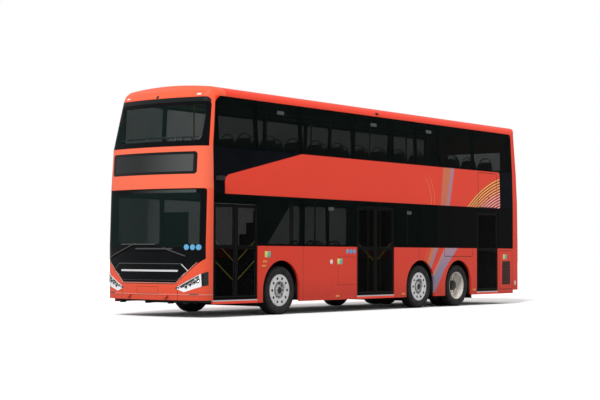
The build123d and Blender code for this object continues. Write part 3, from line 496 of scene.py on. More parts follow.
@dataclass(frozen=True)
class Rubber:
    """Tyre rubber, dusty on its side walls, with moulded rings round its axle."""

    name: str
    station: float

    def build(self) -> Finish:
        """Dark rubber with rings, ribs and dust."""
        graph = Graph(self.name)
        reach = graph.ring(self.station, AXLE_Z)
        rings = (((reach - 0.3) / 0.021).part() - 0.5).line(0.06, 0.2)
        rings = rings * reach.fade(0.33, 0.34) * reach.under(0.43, 0.44)
        grain = graph.noise(240.0, 2.0)
        dust = graph.noise(9.0, 4.0).fade(0.35, 0.75) * reach.under(0.40, 0.46)
        colour = graph.blend(dust * 0.5, (0.012, 0.0125, 0.013), (0.042, 0.041, 0.040))
        height = rings * 0.7 + grain * 0.15
        return graph.surface(colour, 0.62 + 0.2 * grain, 0.0, graph.bump(height, 0.5, 0.004),
                             Specular_IOR_Level=0.4)


@dataclass(frozen=True)
class Alloy:
    """Turned or cast metal with fine rings round an axle, or an even brushed grain, with painted shade where
    asked.
    """

    name: str
    colour: Colour = (0.78, 0.78, 0.77)
    rough: float = 0.22
    station: Optional[float] = None
    dirt: Colour = (0.16, 0.13, 0.10)
    dirt_share: float = 0.25
    metal: float = 1.0
    core: float = 0.0
    core_colour: Colour = (0.018, 0.018, 0.020)
    dim: Optional[Mask] = None

    def build(self) -> Finish:
        """Bright metal with brake dust in its low places, dark within its core's radius."""
        graph = Graph(self.name)
        if self.station is None:
            grain = graph.noise(160.0, 3.0)
        else:
            grain = (graph.ring(self.station, AXLE_Z) * 260.0).part()
        dirt = graph.noise(11.0, 4.0).fade(0.42, 0.8) * self.dirt_share
        colour = graph.blend(dirt, self.colour, self.dirt)
        metal: Number = self.metal
        # Painted shade: darker metal wherever the mask is 1.
        if self.dim is not None:
            colour = graph.blend(self.dim(graph), colour, (0.10, 0.105, 0.11))
        if self.core:
            inside = graph.ring(self.station, AXLE_Z).under(self.core - 0.002, self.core + 0.002)
            colour = graph.blend(inside, colour, self.core_colour)
            metal = (1.0 - inside) * self.metal
        return graph.surface(colour, self.rough + 0.08 * grain + dirt * 0.4, metal,
                             graph.bump(grain, 0.08, 0.0006), Specular_IOR_Level=0.5)


@dataclass(frozen=True)
class Matter:
    """A plain everyday material: moulded plastic, rough steel, floor sheet or cloth."""

    name: str
    colour: Colour
    rough: float = 0.6
    grain: float = 90.0
    depth: float = 0.003
    spread: float = 0.35
    metal: float = 0.0
    glow: float = 0.0

    def build(self) -> Finish:
        """Grained matter with wide and fine change of tone, and a painted glow where one is given."""
        graph = Graph(self.name)
        fine, wide = graph.noise(self.grain, 4.0), graph.noise(2.5, 3.0)
        deep = toned(self.colour, 1.0 - self.spread)
        colour = graph.blend((fine * 0.5 + wide * 0.5).fade(0.3, 0.7), deep, self.colour)
        # Emission here is painted light: it makes a part glow though it is no lamp.
        more = {"Emission_Color": (*self.colour, 1.0), "Emission_Strength": self.glow} if self.glow else {}
        return graph.surface(colour, self.rough - 0.1 * wide, self.metal, graph.bump(fine, 0.35, self.depth),
                             Specular_IOR_Level=0.35, **more)


@dataclass(frozen=True)
class Weave:
    """Seat cloth: crossed threads in two reds with a small check."""

    name: str = "seat_weave"
    warp: Colour = (0.11, 0.012, 0.014)
    weft: Colour = (0.035, 0.006, 0.008)
    threads: float = 220.0

    def build(self) -> Finish:
        """Woven cloth with a soft sheen."""
        graph = Graph(self.name)
        across = abs((graph.y * self.threads).part() - 0.5)
        along = abs(((graph.x + graph.z) * self.threads).part() - 0.5)
        check = ((graph.y * 9.0).part() > 0.5) * (((graph.x + graph.z) * 9.0).part() > 0.5)
        colour = graph.blend(across.fade(0.1, 0.4) * 0.5 + check * 0.4, self.weft, self.warp)
        return graph.surface(colour, 0.85, 0.0, graph.bump(across + along, 0.4, 0.001),
                             Sheen_Weight=0.3, Specular_IOR_Level=0.2)


@dataclass(frozen=True)
class Lamp:
    """A ribbed lens with fine cells under a clear cover."""

    name: str
    colour: Colour
    cells: float
    ribs: float

    def build(self) -> Finish:
        """Cells and ribs under a clear cover."""
        graph = Graph(self.name)
        spots = graph.cells(self.cells).fade(0.25, 0.5)
        rib = (graph.z * self.ribs).part() - 0.5
        return graph.surface(graph.blend(spots, toned(self.colour, 0.35), self.colour), 0.08 + 0.1 * spots, 0.0,
                             graph.bump(rib * rib, 0.5, 0.004), Coat_Weight=1.0, Coat_Roughness=0.03)


@dataclass(frozen=True)
class HeadLamp:
    """Clear cover over a dark bowl with a pale rim, and a black outer corner."""

    name: str = "head_lamp"

    def build(self) -> Finish:
        """Pale rim, dark cells and a black end."""
        graph = Graph(self.name)
        out = abs(graph.y)
        low = graph.z - (0.47 + (out - 0.70).most(0.0) * 0.28)
        cell = graph.cells(19.0).fade(0.28, 0.42)
        rim = low.under(0.045, 0.06).most((out - 1.145).line(0.012, 0.018))
        colour = graph.blend(cell, (0.62, 0.64, 0.66), (0.035, 0.037, 0.04))
        colour = graph.blend(rim, colour, (0.80, 0.81, 0.82))
        end = out > 1.165
        colour = graph.blend(end, colour, (0.003, 0.003, 0.004))
        return graph.surface(colour, 0.12 + 0.1 * graph.noise(30.0), 0.0, graph.bump(cell, 0.4, 0.004),
                             Coat_Weight=0.8, Coat_Roughness=0.03)


@dataclass(frozen=True)
class Screen:
    """A blank sign: faint dots behind smoked glass, with a painted reflection that makes it paler towards one
    end.
    """

    name: str = "blank_sign"

    def build(self) -> Finish:
        """Dark at one end, greyer at the other from a painted reflection, with a fine dot grid."""
        graph = Graph(self.name)
        dots = (abs((graph.y * 60.0).part() - 0.5) + abs((graph.z * 60.0).part() - 0.5)).fade(0.2, 0.5)
        # Painted reflection: the front sign grows paler towards +Y.
        ends = graph.y.fade(-0.4, 1.0) * (graph.x > 5.0)
        rim = graph.rounded(graph.y, graph.z, (-0.98, 0.98), (2.69, 3.005), 0.02).fade(-0.004, 0.004)
        tone = graph.blend(ends, (0.008, 0.009, 0.010), (0.085, 0.09, 0.09))
        tone = graph.blend(dots * 0.4, tone, (0.03, 0.03, 0.03))
        front = graph.x > 5.0
        tone = graph.blend(rim * front, tone, (0.003, 0.003, 0.003))
        tone = graph.blend(front, (0.035, 0.036, 0.04), tone)
        return graph.surface(tone, 0.15 + 0.1 * dots, 0.0, graph.bump(dots, 0.1, 0.001), Coat_Weight=0.4,
                             Coat_Roughness=0.05, Specular_IOR_Level=0.3)


@dataclass(frozen=True)
class Louvre:
    """A painted grille panel with level slats and painted shade in the gaps between them."""

    name: str
    colour: Colour
    pitch: float = 0.035

    def build(self) -> Finish:
        """Slats with painted shade in the gaps between them."""
        graph = Graph(self.name)
        saw = (graph.z / self.pitch).part()
        # Painted shade: the gaps between slats are darkened.
        gap_shade = saw.fade(0.55, 0.8)
        dark = toned(self.colour, 0.12)
        return graph.surface(graph.blend(gap_shade, self.colour, dark), 0.4 + 0.3 * gap_shade, 0.0,
                             graph.bump(1.0 - saw, 0.8, 0.012))


class Side(Enum):
    """The two sides of the bus, as the sign of their Y."""

    LEFT = 1
    RIGHT = -1

    @property
    def word(self) -> str:
        """The side's name in node names."""
        return self.name.lower()


class Shop:
    """Modelling steps shared by every sub-assembly."""

    back_thick = 0.002

    @staticmethod
    @contextmanager
    def editing() -> Iterator[None]:
        """Edit mode with everything selected, and object mode again behind it."""
        bpy.ops.object.mode_set(mode="EDIT")
        bpy.ops.mesh.select_all(action="SELECT")
        yield
        bpy.ops.object.mode_set(mode="OBJECT")

    @staticmethod
    def clear() -> None:
        """Leaves nothing selected."""
        if bpy.context.object and bpy.context.object.mode != "OBJECT":
            bpy.ops.object.mode_set(mode="OBJECT")
        bpy.ops.object.select_all(action="DESELECT")

    @staticmethod
    def fix(piece: Piece, matrix: Matrix = Matrix.Identity(4)) -> Piece:
        """Moves a piece and puts its place into its mesh."""
        Shop.clear()
        piece.matrix_world = matrix @ piece.matrix_world
        piece.select_set(True)
        bpy.context.view_layer.objects.active = piece
        bpy.ops.object.transform_apply(location=True, rotation=True, scale=True)
        return piece

    @staticmethod
    def slab(name: str, low: Point, high: Point, round_off: float = 0.003, segments: int = 2) -> Piece:
        """A block with rounded edges, from its corners."""
        Shop.clear()
        middle = [(a + b) / 2 for a, b in zip(low, high)]
        size = [b - a for a, b in zip(low, high)]
        bpy.ops.mesh.primitive_cube_add(size=1.0, location=middle)
        piece = bpy.context.object
        piece.name = name
        piece.scale = size
        bpy.ops.object.transform_apply(location=True, rotation=True, scale=True)
        with Shop.editing():
            bpy.ops.mesh.bevel(offset=min(round_off, 0.45 * min(size)), segments=segments, affect="EDGES")
        return piece

    @staticmethod
    def lathe(name: str, profile: Sequence[tuple[float, float]], steps: int = 32) -> Piece:
        """A turned piece about the Y axis, closed behind where its section starts on the axis.

        Args:
            name: the piece's name.
            profile: radius and place along Y of each corner of its section.
            steps: how many steps make a turn.

        Returns:
            The piece at the origin.
        """
        if profile[0][0] == 0.0 and profile[-1][0] > 0.0:
            back = min(place for _, place in profile) - Shop.back_thick
            profile = [*profile, (profile[-1][0], back), (0.0, back)]
        Shop.clear()
        bpy.ops.mesh.primitive_plane_add(size=0.01)
        piece = bpy.context.object
        piece.name = name
        with Shop.editing():
            bpy.ops.mesh.select_mode(type="VERT")
            bpy.ops.mesh.select_all(action="SELECT")
            bpy.ops.mesh.merge(type="CENTER")
            bpy.ops.transform.translate(value=(profile[0][0], profile[0][1], 0.0))
            for (r0, a0), (r1, a1) in zip(profile, profile[1:]):
                bpy.ops.mesh.extrude_region_move(TRANSFORM_OT_translate={"value": (r1 - r0, a1 - a0, 0.0)})
            bpy.ops.mesh.select_all(action="SELECT")
            bpy.ops.mesh.spin(steps=steps, angle=2 * math.pi, center=(0, 0, 0), axis=(0, 1, 0))
            bpy.ops.mesh.select_all(action="SELECT")
            bpy.ops.mesh.remove_doubles(threshold=0.00002)
            bpy.ops.mesh.normals_make_consistent(inside=False)
        return piece

    @staticmethod
    def rod(name: str, points: Sequence[Point], radius: float, closed: bool = False,
            sides: int = 2) -> Piece:
        """A round bar along points, with its ends closed."""
        Shop.clear()
        curve = bpy.data.curves.new(name, "CURVE")
        curve.dimensions = "3D"
        curve.bevel_depth, curve.bevel_resolution, curve.use_fill_caps = radius, sides, True
        line = curve.splines.new("POLY")
        line.points.add(len(points) - 1)
        for knot, point in zip(line.points, points):
            knot.co = (*point, 1.0)
        line.use_cyclic_u = closed
        piece = bpy.data.objects.new(name, curve)
        bpy.context.scene.collection.objects.link(piece)
        piece.select_set(True)
        bpy.context.view_layer.objects.active = piece
        bpy.ops.object.convert(target="MESH")
        return bpy.context.object

    @staticmethod
    def twin(piece: Piece, matrix: Matrix) -> Piece:
        """A copy with its own mesh, moved by a matrix."""
        copy = piece.copy()
        copy.data = piece.data.copy()
        bpy.context.scene.collection.objects.link(copy)
        return Shop.fix(copy, matrix)

    @staticmethod
    def join(pieces: Sequence[Piece], name: str) -> Piece:
        """Several pieces as one object."""
        Shop.clear()
        for piece in pieces:
            piece.select_set(True)
        bpy.context.view_layer.objects.active = pieces[0]
        if len(pieces) > 1:
            bpy.ops.object.join()
        joined = bpy.context.object
        joined.name = name
        return joined

    @staticmethod
    def drop(*patterns: Piece) -> None:
        """Removes pattern pieces after they have been copied."""
        for pattern in patterns:
            bpy.data.objects.remove(pattern, do_unlink=True)

    @staticmethod
    def dress(piece: Piece, material: Finish, body: str, slot: str = "",
              soft_angle: float = 40.0) -> Piece:
        """Gives a piece its finish, its shading and the body it rides on."""
        Shop.clear()
        piece.data.materials.clear()
        piece.data.materials.append(material)
        piece.select_set(True)
        bpy.context.view_layer.objects.active = piece
        bpy.ops.object.shade_smooth_by_angle(angle=math.radians(soft_angle))
        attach(piece, body)
        log.info("piece %s rides on %s, %d faces", piece.name, body, len(piece.data.polygons))
        return piece

    @staticmethod
    def group(pieces: Sequence[Piece], name: str, material: Finish, body: str = "body",
              slot: str = "") -> Piece:
        """Joins pieces and dresses them as one."""
        return Shop.dress(Shop.join(pieces, name), material, body, slot)

    @staticmethod
    def skin(node: str, start: Point, way: Point) -> tuple[Vector, Vector]:
        """Where a straight look from a point meets a node, and the surface's normal there."""
        found, place, normal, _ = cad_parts[node].ray_cast(Vector(start), Vector(way))
        if not found:
            raise ValueError(f"nothing of {node} at {start}")
        if normal.dot(Vector(way)) > 0:
            normal = -normal
        return place, normal

    @staticmethod
    def stuck(place: Vector, normal: Vector, lift: float = 0.0) -> Matrix:
        """The matrix that lays a piece made facing +Y on a surface, its Z kept upright."""
        up = Vector((0, 0, 1))
        across = normal.cross(up).normalized()
        true_up = across.cross(normal).normalized()
        turn = Matrix((across, normal, true_up)).transposed().to_4x4()
        return Matrix.Translation(place + normal * lift) @ turn


class Finishes:
    """Every finish of the bus, built once."""

    def __init__(self) -> None:
        """Builds the materials."""
        self.red = BodyPaint().build()
        self.cap_red = CapPaint().build()
        self.band_red = BodyPaint("band_red", (0.90, 0.15, 0.075)).build()
        self.side_red = SidePaint().build()
        self.nose_red = NosePaint().build()
        self.black = Gloss("gloss_black", (0.002, 0.0024, 0.003), 0.12, gleam=0.15).build()
        self.navy = Gloss("gloss_navy", (0.0016, 0.0026, 0.0048), 0.14, gleam=0.04).build()
        self.frame_black = Gloss("frame_black", (0.0015, 0.0016, 0.0018), 0.3, 90.0, gleam=0.04,
                                 corners=self.band_corners).build()
        self.door_black = Gloss("door_black", (0.0018, 0.002, 0.0022), 0.22, gleam=0.06).build()
        self.side_glass = Glass("side_glass", (0.0018, 0.0048, 0.0042), 0.45, self.rear_black_panes,
                                lambda graph: (0.0012, 0.0013, 0.0014), self.band_corners).build()
        self.front_glass = Glass("front_glass", (0.006, 0.015, 0.0135), 0.35, self.front_border,
                                 self.visor_tone, low_cover=0.18, sheen=0.12).build()
        self.door_glass = Glass("door_glass", (0.0012, 0.0016, 0.0015), 0.38).build()
        self.screen = Screen().build()
        self.chrome = Alloy("bright_trim", (0.90, 0.90, 0.91), 0.16, dirt_share=0.05, metal=0.5).build()
        # The nose's trim is the bright trim with painted shade on its top line and its right end.
        self.nose_trim = Alloy("nose_trim", (0.90, 0.90, 0.91), 0.16, dirt_share=0.05, metal=0.5,
                               dim=self.trim_painted_shade).build()
        self.sill = Alloy("sill_alloy", (0.55, 0.55, 0.56), 0.32).build()
        self.step_edge = StepPaint().build()
        # Painted highlight: pale red for the bright line along the black panel's edge.
        self.edge_light = Gloss("edge_light", (0.80, 0.30, 0.25), 0.2).build()
        self.tag_dark = Matter("tag_smoked", (0.07, 0.085, 0.08), 0.4, 40.0, 0.0003, 0.2).build()
        # The door grab bars get a painted glow so that they show through the dark door glass.
        self.bar_yellow = Matter("door_bar_yellow", (0.60, 0.52, 0.08), 0.4, 60.0, 0.0005, 0.15,
                                 glow=0.35).build()
        self.nut_metal = Alloy("nut_steel", (0.20, 0.20, 0.21), 0.35, dirt_share=0.4).build()
        self.iron = Matter("axle_iron", (0.028, 0.028, 0.03), 0.7, 40.0, metal=0.3).build()
        self.chassis = Matter("chassis_black", (0.018, 0.018, 0.019), 0.75, 30.0).build()
        self.floor_sheet = Matter("floor_sheet", (0.06, 0.06, 0.065), 0.6, 150.0, 0.001).build()
        self.case = Matter("battery_case", (0.05, 0.05, 0.052), 0.55, 25.0).build()
        self.plastic = Matter("grained_plastic", (0.020, 0.020, 0.022), 0.55, 260.0, 0.0008).build()
        self.seat_shell = Matter("seat_shell", (0.035, 0.036, 0.04), 0.45, 120.0, 0.0006).build()
        self.rubber = Matter("seal_rubber", (0.010, 0.010, 0.010), 0.8, 120.0, 0.001).build()
        self.rail = Matter("rail_yellow", (0.62, 0.40, 0.03), 0.4, 60.0, 0.0005, 0.15).build()
        self.lining = Matter("cabin_lining", (0.075, 0.078, 0.08), 0.8, 70.0, 0.001, 0.2).build()
        self.cloth = Weave().build()
        self.lamp = HeadLamp().build()
        self.bowl = Alloy("lamp_bowl", (0.9, 0.9, 0.9), 0.06, dirt_share=0.0).build()
        self.red_lamp = Lamp("red_lens", (0.55, 0.012, 0.010), 60.0, 90.0).build()
        self.amber = Lamp("amber_lens", (0.85, 0.26, 0.03), 80.0, 160.0).build()
        self.white_lamp = Lamp("white_lens", (0.9, 0.9, 0.88), 90.0, 140.0).build()
        self.grille = Louvre("tail_grille", (0.075, 0.008, 0.010)).build()
        self.bay_grille = Louvre("bay_grille", (0.40, 0.03, 0.018), 0.06).build()
        self.disc_blue = Matter("disc_blue", (0.13, 0.42, 0.70), 0.4, 30.0, 0.0003, 0.25).build()
        self.tag_lime = Matter("tag_lime", (0.72, 0.74, 0.20), 0.4, 40.0, 0.0003, 0.2).build()
        self.tag_teal = Matter("tag_teal", (0.15, 0.52, 0.42), 0.4, 40.0, 0.0003, 0.2).build()
        self.tyres = {name: Rubber("tyre_" + name, x).build() for name, x in WheelDress.stations.items()}
        self.rims = {name: Alloy("rim_" + name, (0.86, 0.82, 0.76) if name == "drive" else (0.80, 0.80, 0.81),
                                 0.34 if name == "drive" else 0.26, x,
                                 metal=0.4).build()
                     for name, x in WheelDress.stations.items()}
        self.hubs = {name: Alloy("hub_" + name, (0.62, 0.62, 0.63), 0.3, x, metal=0.5, core=core).build()
                     for (name, x), core in zip(WheelDress.stations.items(), (0.066, 0.066, 0.2))}

    @staticmethod
    def trim_painted_shade(graph: Graph) -> Value:
        """1 where the nose's trim gets painted shade: its level top line and its right slanted end."""
        level = (graph.z > 0.975) * (abs(graph.y) < 0.79)
        return level.most(graph.y < -0.78)

    @staticmethod
    def rear_black_panes(graph: Graph) -> Value:
        """1 on the lower deck's panes behind the middle axle, which are made opaque and near black."""
        return (graph.x < -2.15) * (graph.z < 2.4)

    @staticmethod
    def front_border(graph: Graph) -> Value:
        """1 on the printed edge of both windscreens and on the shade at the lower one's top."""
        upper = graph.rounded(graph.y, graph.z, (-1.09, 1.09), (3.26, 3.93), 0.08)
        lower = graph.rounded(graph.y, graph.z, (-1.13, 1.13), (1.30, 2.29), 0.05)
        edge = upper.least(lower).fade(-0.015, 0.015)
        return edge

    @staticmethod
    def visor_tone(graph: Graph) -> object:
        """The printed edge's colour, paler along the shade strip at the lower screen's top."""
        strip = graph.rounded(graph.y, graph.z, (-0.55, 1.06), (2.292, 2.352), 0.01)
        share = strip.under(-0.004, 0.004) * graph.y.fade(-0.7, 1.1)
        return graph.blend(share, (0.003, 0.0034, 0.004), (0.06, 0.07, 0.065))

    @staticmethod
    def band_corners(graph: Graph) -> Value:
        """1 outside the rounded top corners of the upper window band."""
        def cut(ahead: Value, radius: float) -> Value:
            """1 beyond an arc between an upright edge and the band's top."""
            over, up = (ahead + radius).most(0.0), (graph.z - 4.11 + radius).most(0.0)
            return (over * over + up * up).root() > radius
        front = graph.left_of((5.530, 3.155), (NOSE_EAVES, 4.11))
        return cut(front, 0.16).most(cut((0.0 - graph.x) - 5.64, 0.10)) * (graph.z > 3.7)


@dataclass
class CadDress:
    """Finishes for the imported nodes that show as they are."""

    finishes: Finishes

    def table(self) -> dict[str, Finish]:
        """Node and its finish."""
        f = self.finishes
        return {
            "left_panels": f.side_red, "right_panels": f.side_red, "roof": f.red, "front_cap": f.cap_red,
            "front_pillars": f.cap_red, "front_band": f.band_red, "bumper": f.nose_red, "rear_wall": f.red,
            "bay_flap": f.bay_grille, "quarter_panels": f.navy, "front_panel": f.black,
            "left_window_frame": f.frame_black, "right_window_frame": f.frame_black,
            "windscreen_frames": f.frame_black, "left_glass": f.side_glass, "right_glass": f.side_glass,
            "rear_window": f.side_glass, "windscreens": f.front_glass, "displays": f.screen,
            "headlamps": f.lamp, "tail_lamps": f.red_lamp, "lower_floor": f.floor_sheet,
            "upper_floor": f.lining, "staircase": f.floor_sheet, "door_sills": f.step_edge,
            "front_trim": f.nose_trim, "wheel_wells": f.chassis, "chassis_frame": f.chassis,
            "axle_beams": f.iron, "battery_pack": f.case,
            "handrails": f.rail, "driver_cab": f.plastic, "camera_pods": f.plastic, "wipers": f.nut_metal,
            "knuckle_left": f.iron, "knuckle_right": f.iron,
        }

    def build(self) -> None:
        """Puts each finish on its node's slots."""
        table = self.table()
        for name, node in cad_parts.items():
            if name in table:
                material = table[name]
            elif name.startswith("rim_"):
                material = self.finishes.rims[name.split("_")[1]]
            elif name.startswith("tyre_"):
                material = self.finishes.tyres[name.split("_")[1]]
            elif name.endswith("_glass"):
                material = self.finishes.door_glass
            elif name.startswith("door_"):
                material = self.finishes.door_black
            else:
                material = self.finishes.seat_shell
            for slot in node.material_slots:
                slot.material = material
            log.info("node %s is finished in %s", name, material.name)


@dataclass
class WheelDress:
    """Tyres with ribs and cut shoulders, hub covers and wheel nuts."""

    finishes: Finishes
    tyre_radius: float = AXLE_Z
    bead_radius: float = 0.3105
    half_tyre: float = 0.1375
    groove_depth: float = 0.013
    groove_half: float = 0.006
    grooves: tuple[float, ...] = (-0.072, -0.026, 0.026, 0.072)
    steps: int = 80
    hole_circle: float = 0.235
    nuts: int = 10
    dust_cap_circle: float = 0.076
    dust_cap_bolts: int = 8
    hole_depth: float = 0.020
    stations = {"front": 3.49, "middle": -1.5, "drive": -3.1}
    open_hub = {"depth": 0.080, "circle": 0.140, "lift": 0.005, "rise": 0.050}
    deep_hub = {"depth": 0.216, "circle": 0.1675, "lift": 0.002, "rise": 0.119}

    def section(self) -> list[tuple[float, float]]:
        """Radius and place across of the tyre's outer section, bead to bead."""
        side = [(self.bead_radius, 0.100), (0.318, 0.116), (0.330, 0.124), (0.334, 0.123), (0.352, 0.130),
                (0.385, 0.1372), (0.412, 0.1375), (0.432, 0.1345), (0.445, 0.1275), (0.461, 0.1165),
                (0.4685, 0.1050)]
        tread: list[tuple[float, float]] = []
        for place in reversed(self.grooves):
            top = self.tyre_radius - 0.22 * place * place
            low = top - self.groove_depth
            tread += [(top, place + self.groove_half + 0.002), (low, place + self.groove_half),
                      (low, place - self.groove_half), (top, place - self.groove_half - 0.002)]
        other = [(radius, -across) for radius, across in reversed(side)]
        return side + tread + other + [side[0]]

    def tyre(self) -> Piece:
        """One tyre about the Y axis, with notched shoulders."""
        tyre = Shop.lathe("tyre_pattern", self.section(), self.steps)
        bpy.ops.object.mode_set(mode="EDIT")
        bpy.ops.mesh.select_mode(type="FACE")
        bpy.ops.mesh.select_all(action="DESELECT")
        bpy.ops.object.mode_set(mode="OBJECT")
        for face in tyre.data.polygons:
            middle = face.center
            reach = math.hypot(middle.x, middle.z)
            turn = int((math.atan2(middle.z, middle.x) / (2 * math.pi) + 0.5) * self.steps)
            face.select = turn % 4 == 0 and reach > 0.446 and abs(middle.y) > 0.082
        bpy.ops.object.mode_set(mode="EDIT")
        bpy.ops.mesh.extrude_region_shrink_fatten(TRANSFORM_OT_shrink_fatten={"value": -0.009})
        bpy.ops.object.mode_set(mode="OBJECT")
        return tyre

    def nut(self) -> Piece:
        """A wheel nut facing +Y with its washer and stud end."""
        Shop.clear()
        bpy.ops.mesh.primitive_cylinder_add(vertices=6, radius=0.0165, depth=0.02, rotation=(math.pi / 2, 0, 0),
                                            location=(0, 0.012, 0))
        hexagon = bpy.context.object
        Shop.fix(hexagon)
        with Shop.editing():
            bpy.ops.mesh.bevel(offset=0.0015, segments=1)
        stud = Shop.lathe("stud", [(0.0, 0.030), (0.008, 0.030), (0.010, 0.027), (0.010, 0.003), (0.021, 0.003),
                                   (0.021, 0.0)], 10)
        return Shop.join([hexagon, stud], "nut_pattern")

    def ringed(self, pattern: Piece, circle: float, count: int, place: Matrix,
               name: str) -> Piece:
        """Copies of a piece on a circle about the Y axis, as one piece."""
        copies = []
        for number in range(count):
            turn = Matrix.Rotation(2 * math.pi * number / count, 4, "Y")
            copies.append(Shop.twin(pattern, place @ turn @ Matrix.Translation((circle, 0, 0))))
        return Shop.join(copies, name)

    def build(self) -> None:
        """Makes every wheel's pieces."""
        tyre, nut = self.tyre(), self.nut()
        open_cap = Shop.lathe("cap_pattern", [(0.0, 0.062), (0.040, 0.062), (0.070, 0.058), (0.084, 0.048),
                                              (0.099, 0.040), (0.101, 0.010), (0.112, 0.006), (0.168, 0.004),
                                              (0.170, 0.0)], 40)
        deep_cap = Shop.lathe("drum_pattern", [(0.0, 0.128), (0.060, 0.128), (0.085, 0.122), (0.104, 0.118),
                                               (0.113, 0.112), (0.116, 0.02), (0.135, 0.012), (0.140, 0.0)], 40)
        hole = Shop.lathe("hole_pattern", [(0.0, -0.004), (0.022, -0.004), (0.025, 0.0008), (0.028, 0.0)], 20)
        bolt = Shop.lathe("bolt_pattern", [(0.0, 0.010), (0.006, 0.010), (0.0085, 0.007), (0.0085, 0.0)], 8)
        for name, station in self.stations.items():
            twins = name == "drive"
            hub = self.deep_hub if twins else self.open_hub
            for side in Side:
                body, node = f"wheel_{name}_{side.word}", f"tyre_{name}_{side.word}"
                low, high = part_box(node)
                outer, inner = (high[1], low[1]) if side is Side.LEFT else (low[1], high[1])

                def across(y: float) -> Matrix:
                    """The matrix of a place across the bus on this axle."""
                    return Matrix.Translation((station, y, self.tyre_radius))
                tyres = [Shop.twin(tyre, across(outer - side.value * self.half_tyre))]
                if twins:
                    tyres.append(Shop.twin(tyre, across(inner + side.value * self.half_tyre)))
                cover = Shop.join(tyres, f"{node}_ribbed")
                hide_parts(node)
                Shop.dress(cover, self.finishes.tyres[name], body, "tyre", 30.0)
                face = Matrix.Rotation(0.0 if side is Side.LEFT else math.pi, 4, "Z")
                place = across(outer - side.value * hub["depth"]) @ face
                cap = Shop.twin(deep_cap if twins else open_cap, place)
                Shop.group([cap], f"hub_{name}_{side.word}", self.finishes.hubs[name], body, "axle_iron")
                if not twins:
                    holes = self.ringed(hole, self.hole_circle, self.nuts,
                                        across(outer - side.value * self.hole_depth) @ face,
                                        f"rim_holes_{name}_{side.word}")
                    Shop.dress(holes, self.finishes.iron, body, "rim_alloy")
                for word, pattern, circle, count, up in (
                        ("nuts", nut, hub["circle"], self.nuts, hub["lift"]),
                        ("bolts", bolt, self.dust_cap_circle, self.dust_cap_bolts, hub["rise"])):
                    ring = self.ringed(pattern, circle, count, place @ Matrix.Translation((0, up, 0)),
                                       f"{word}_{name}_{side.word}")
                    Shop.dress(ring, self.finishes.nut_metal, body, "axle_iron")
        Shop.drop(tyre, nut, open_cap, deep_cap, hole, bolt)


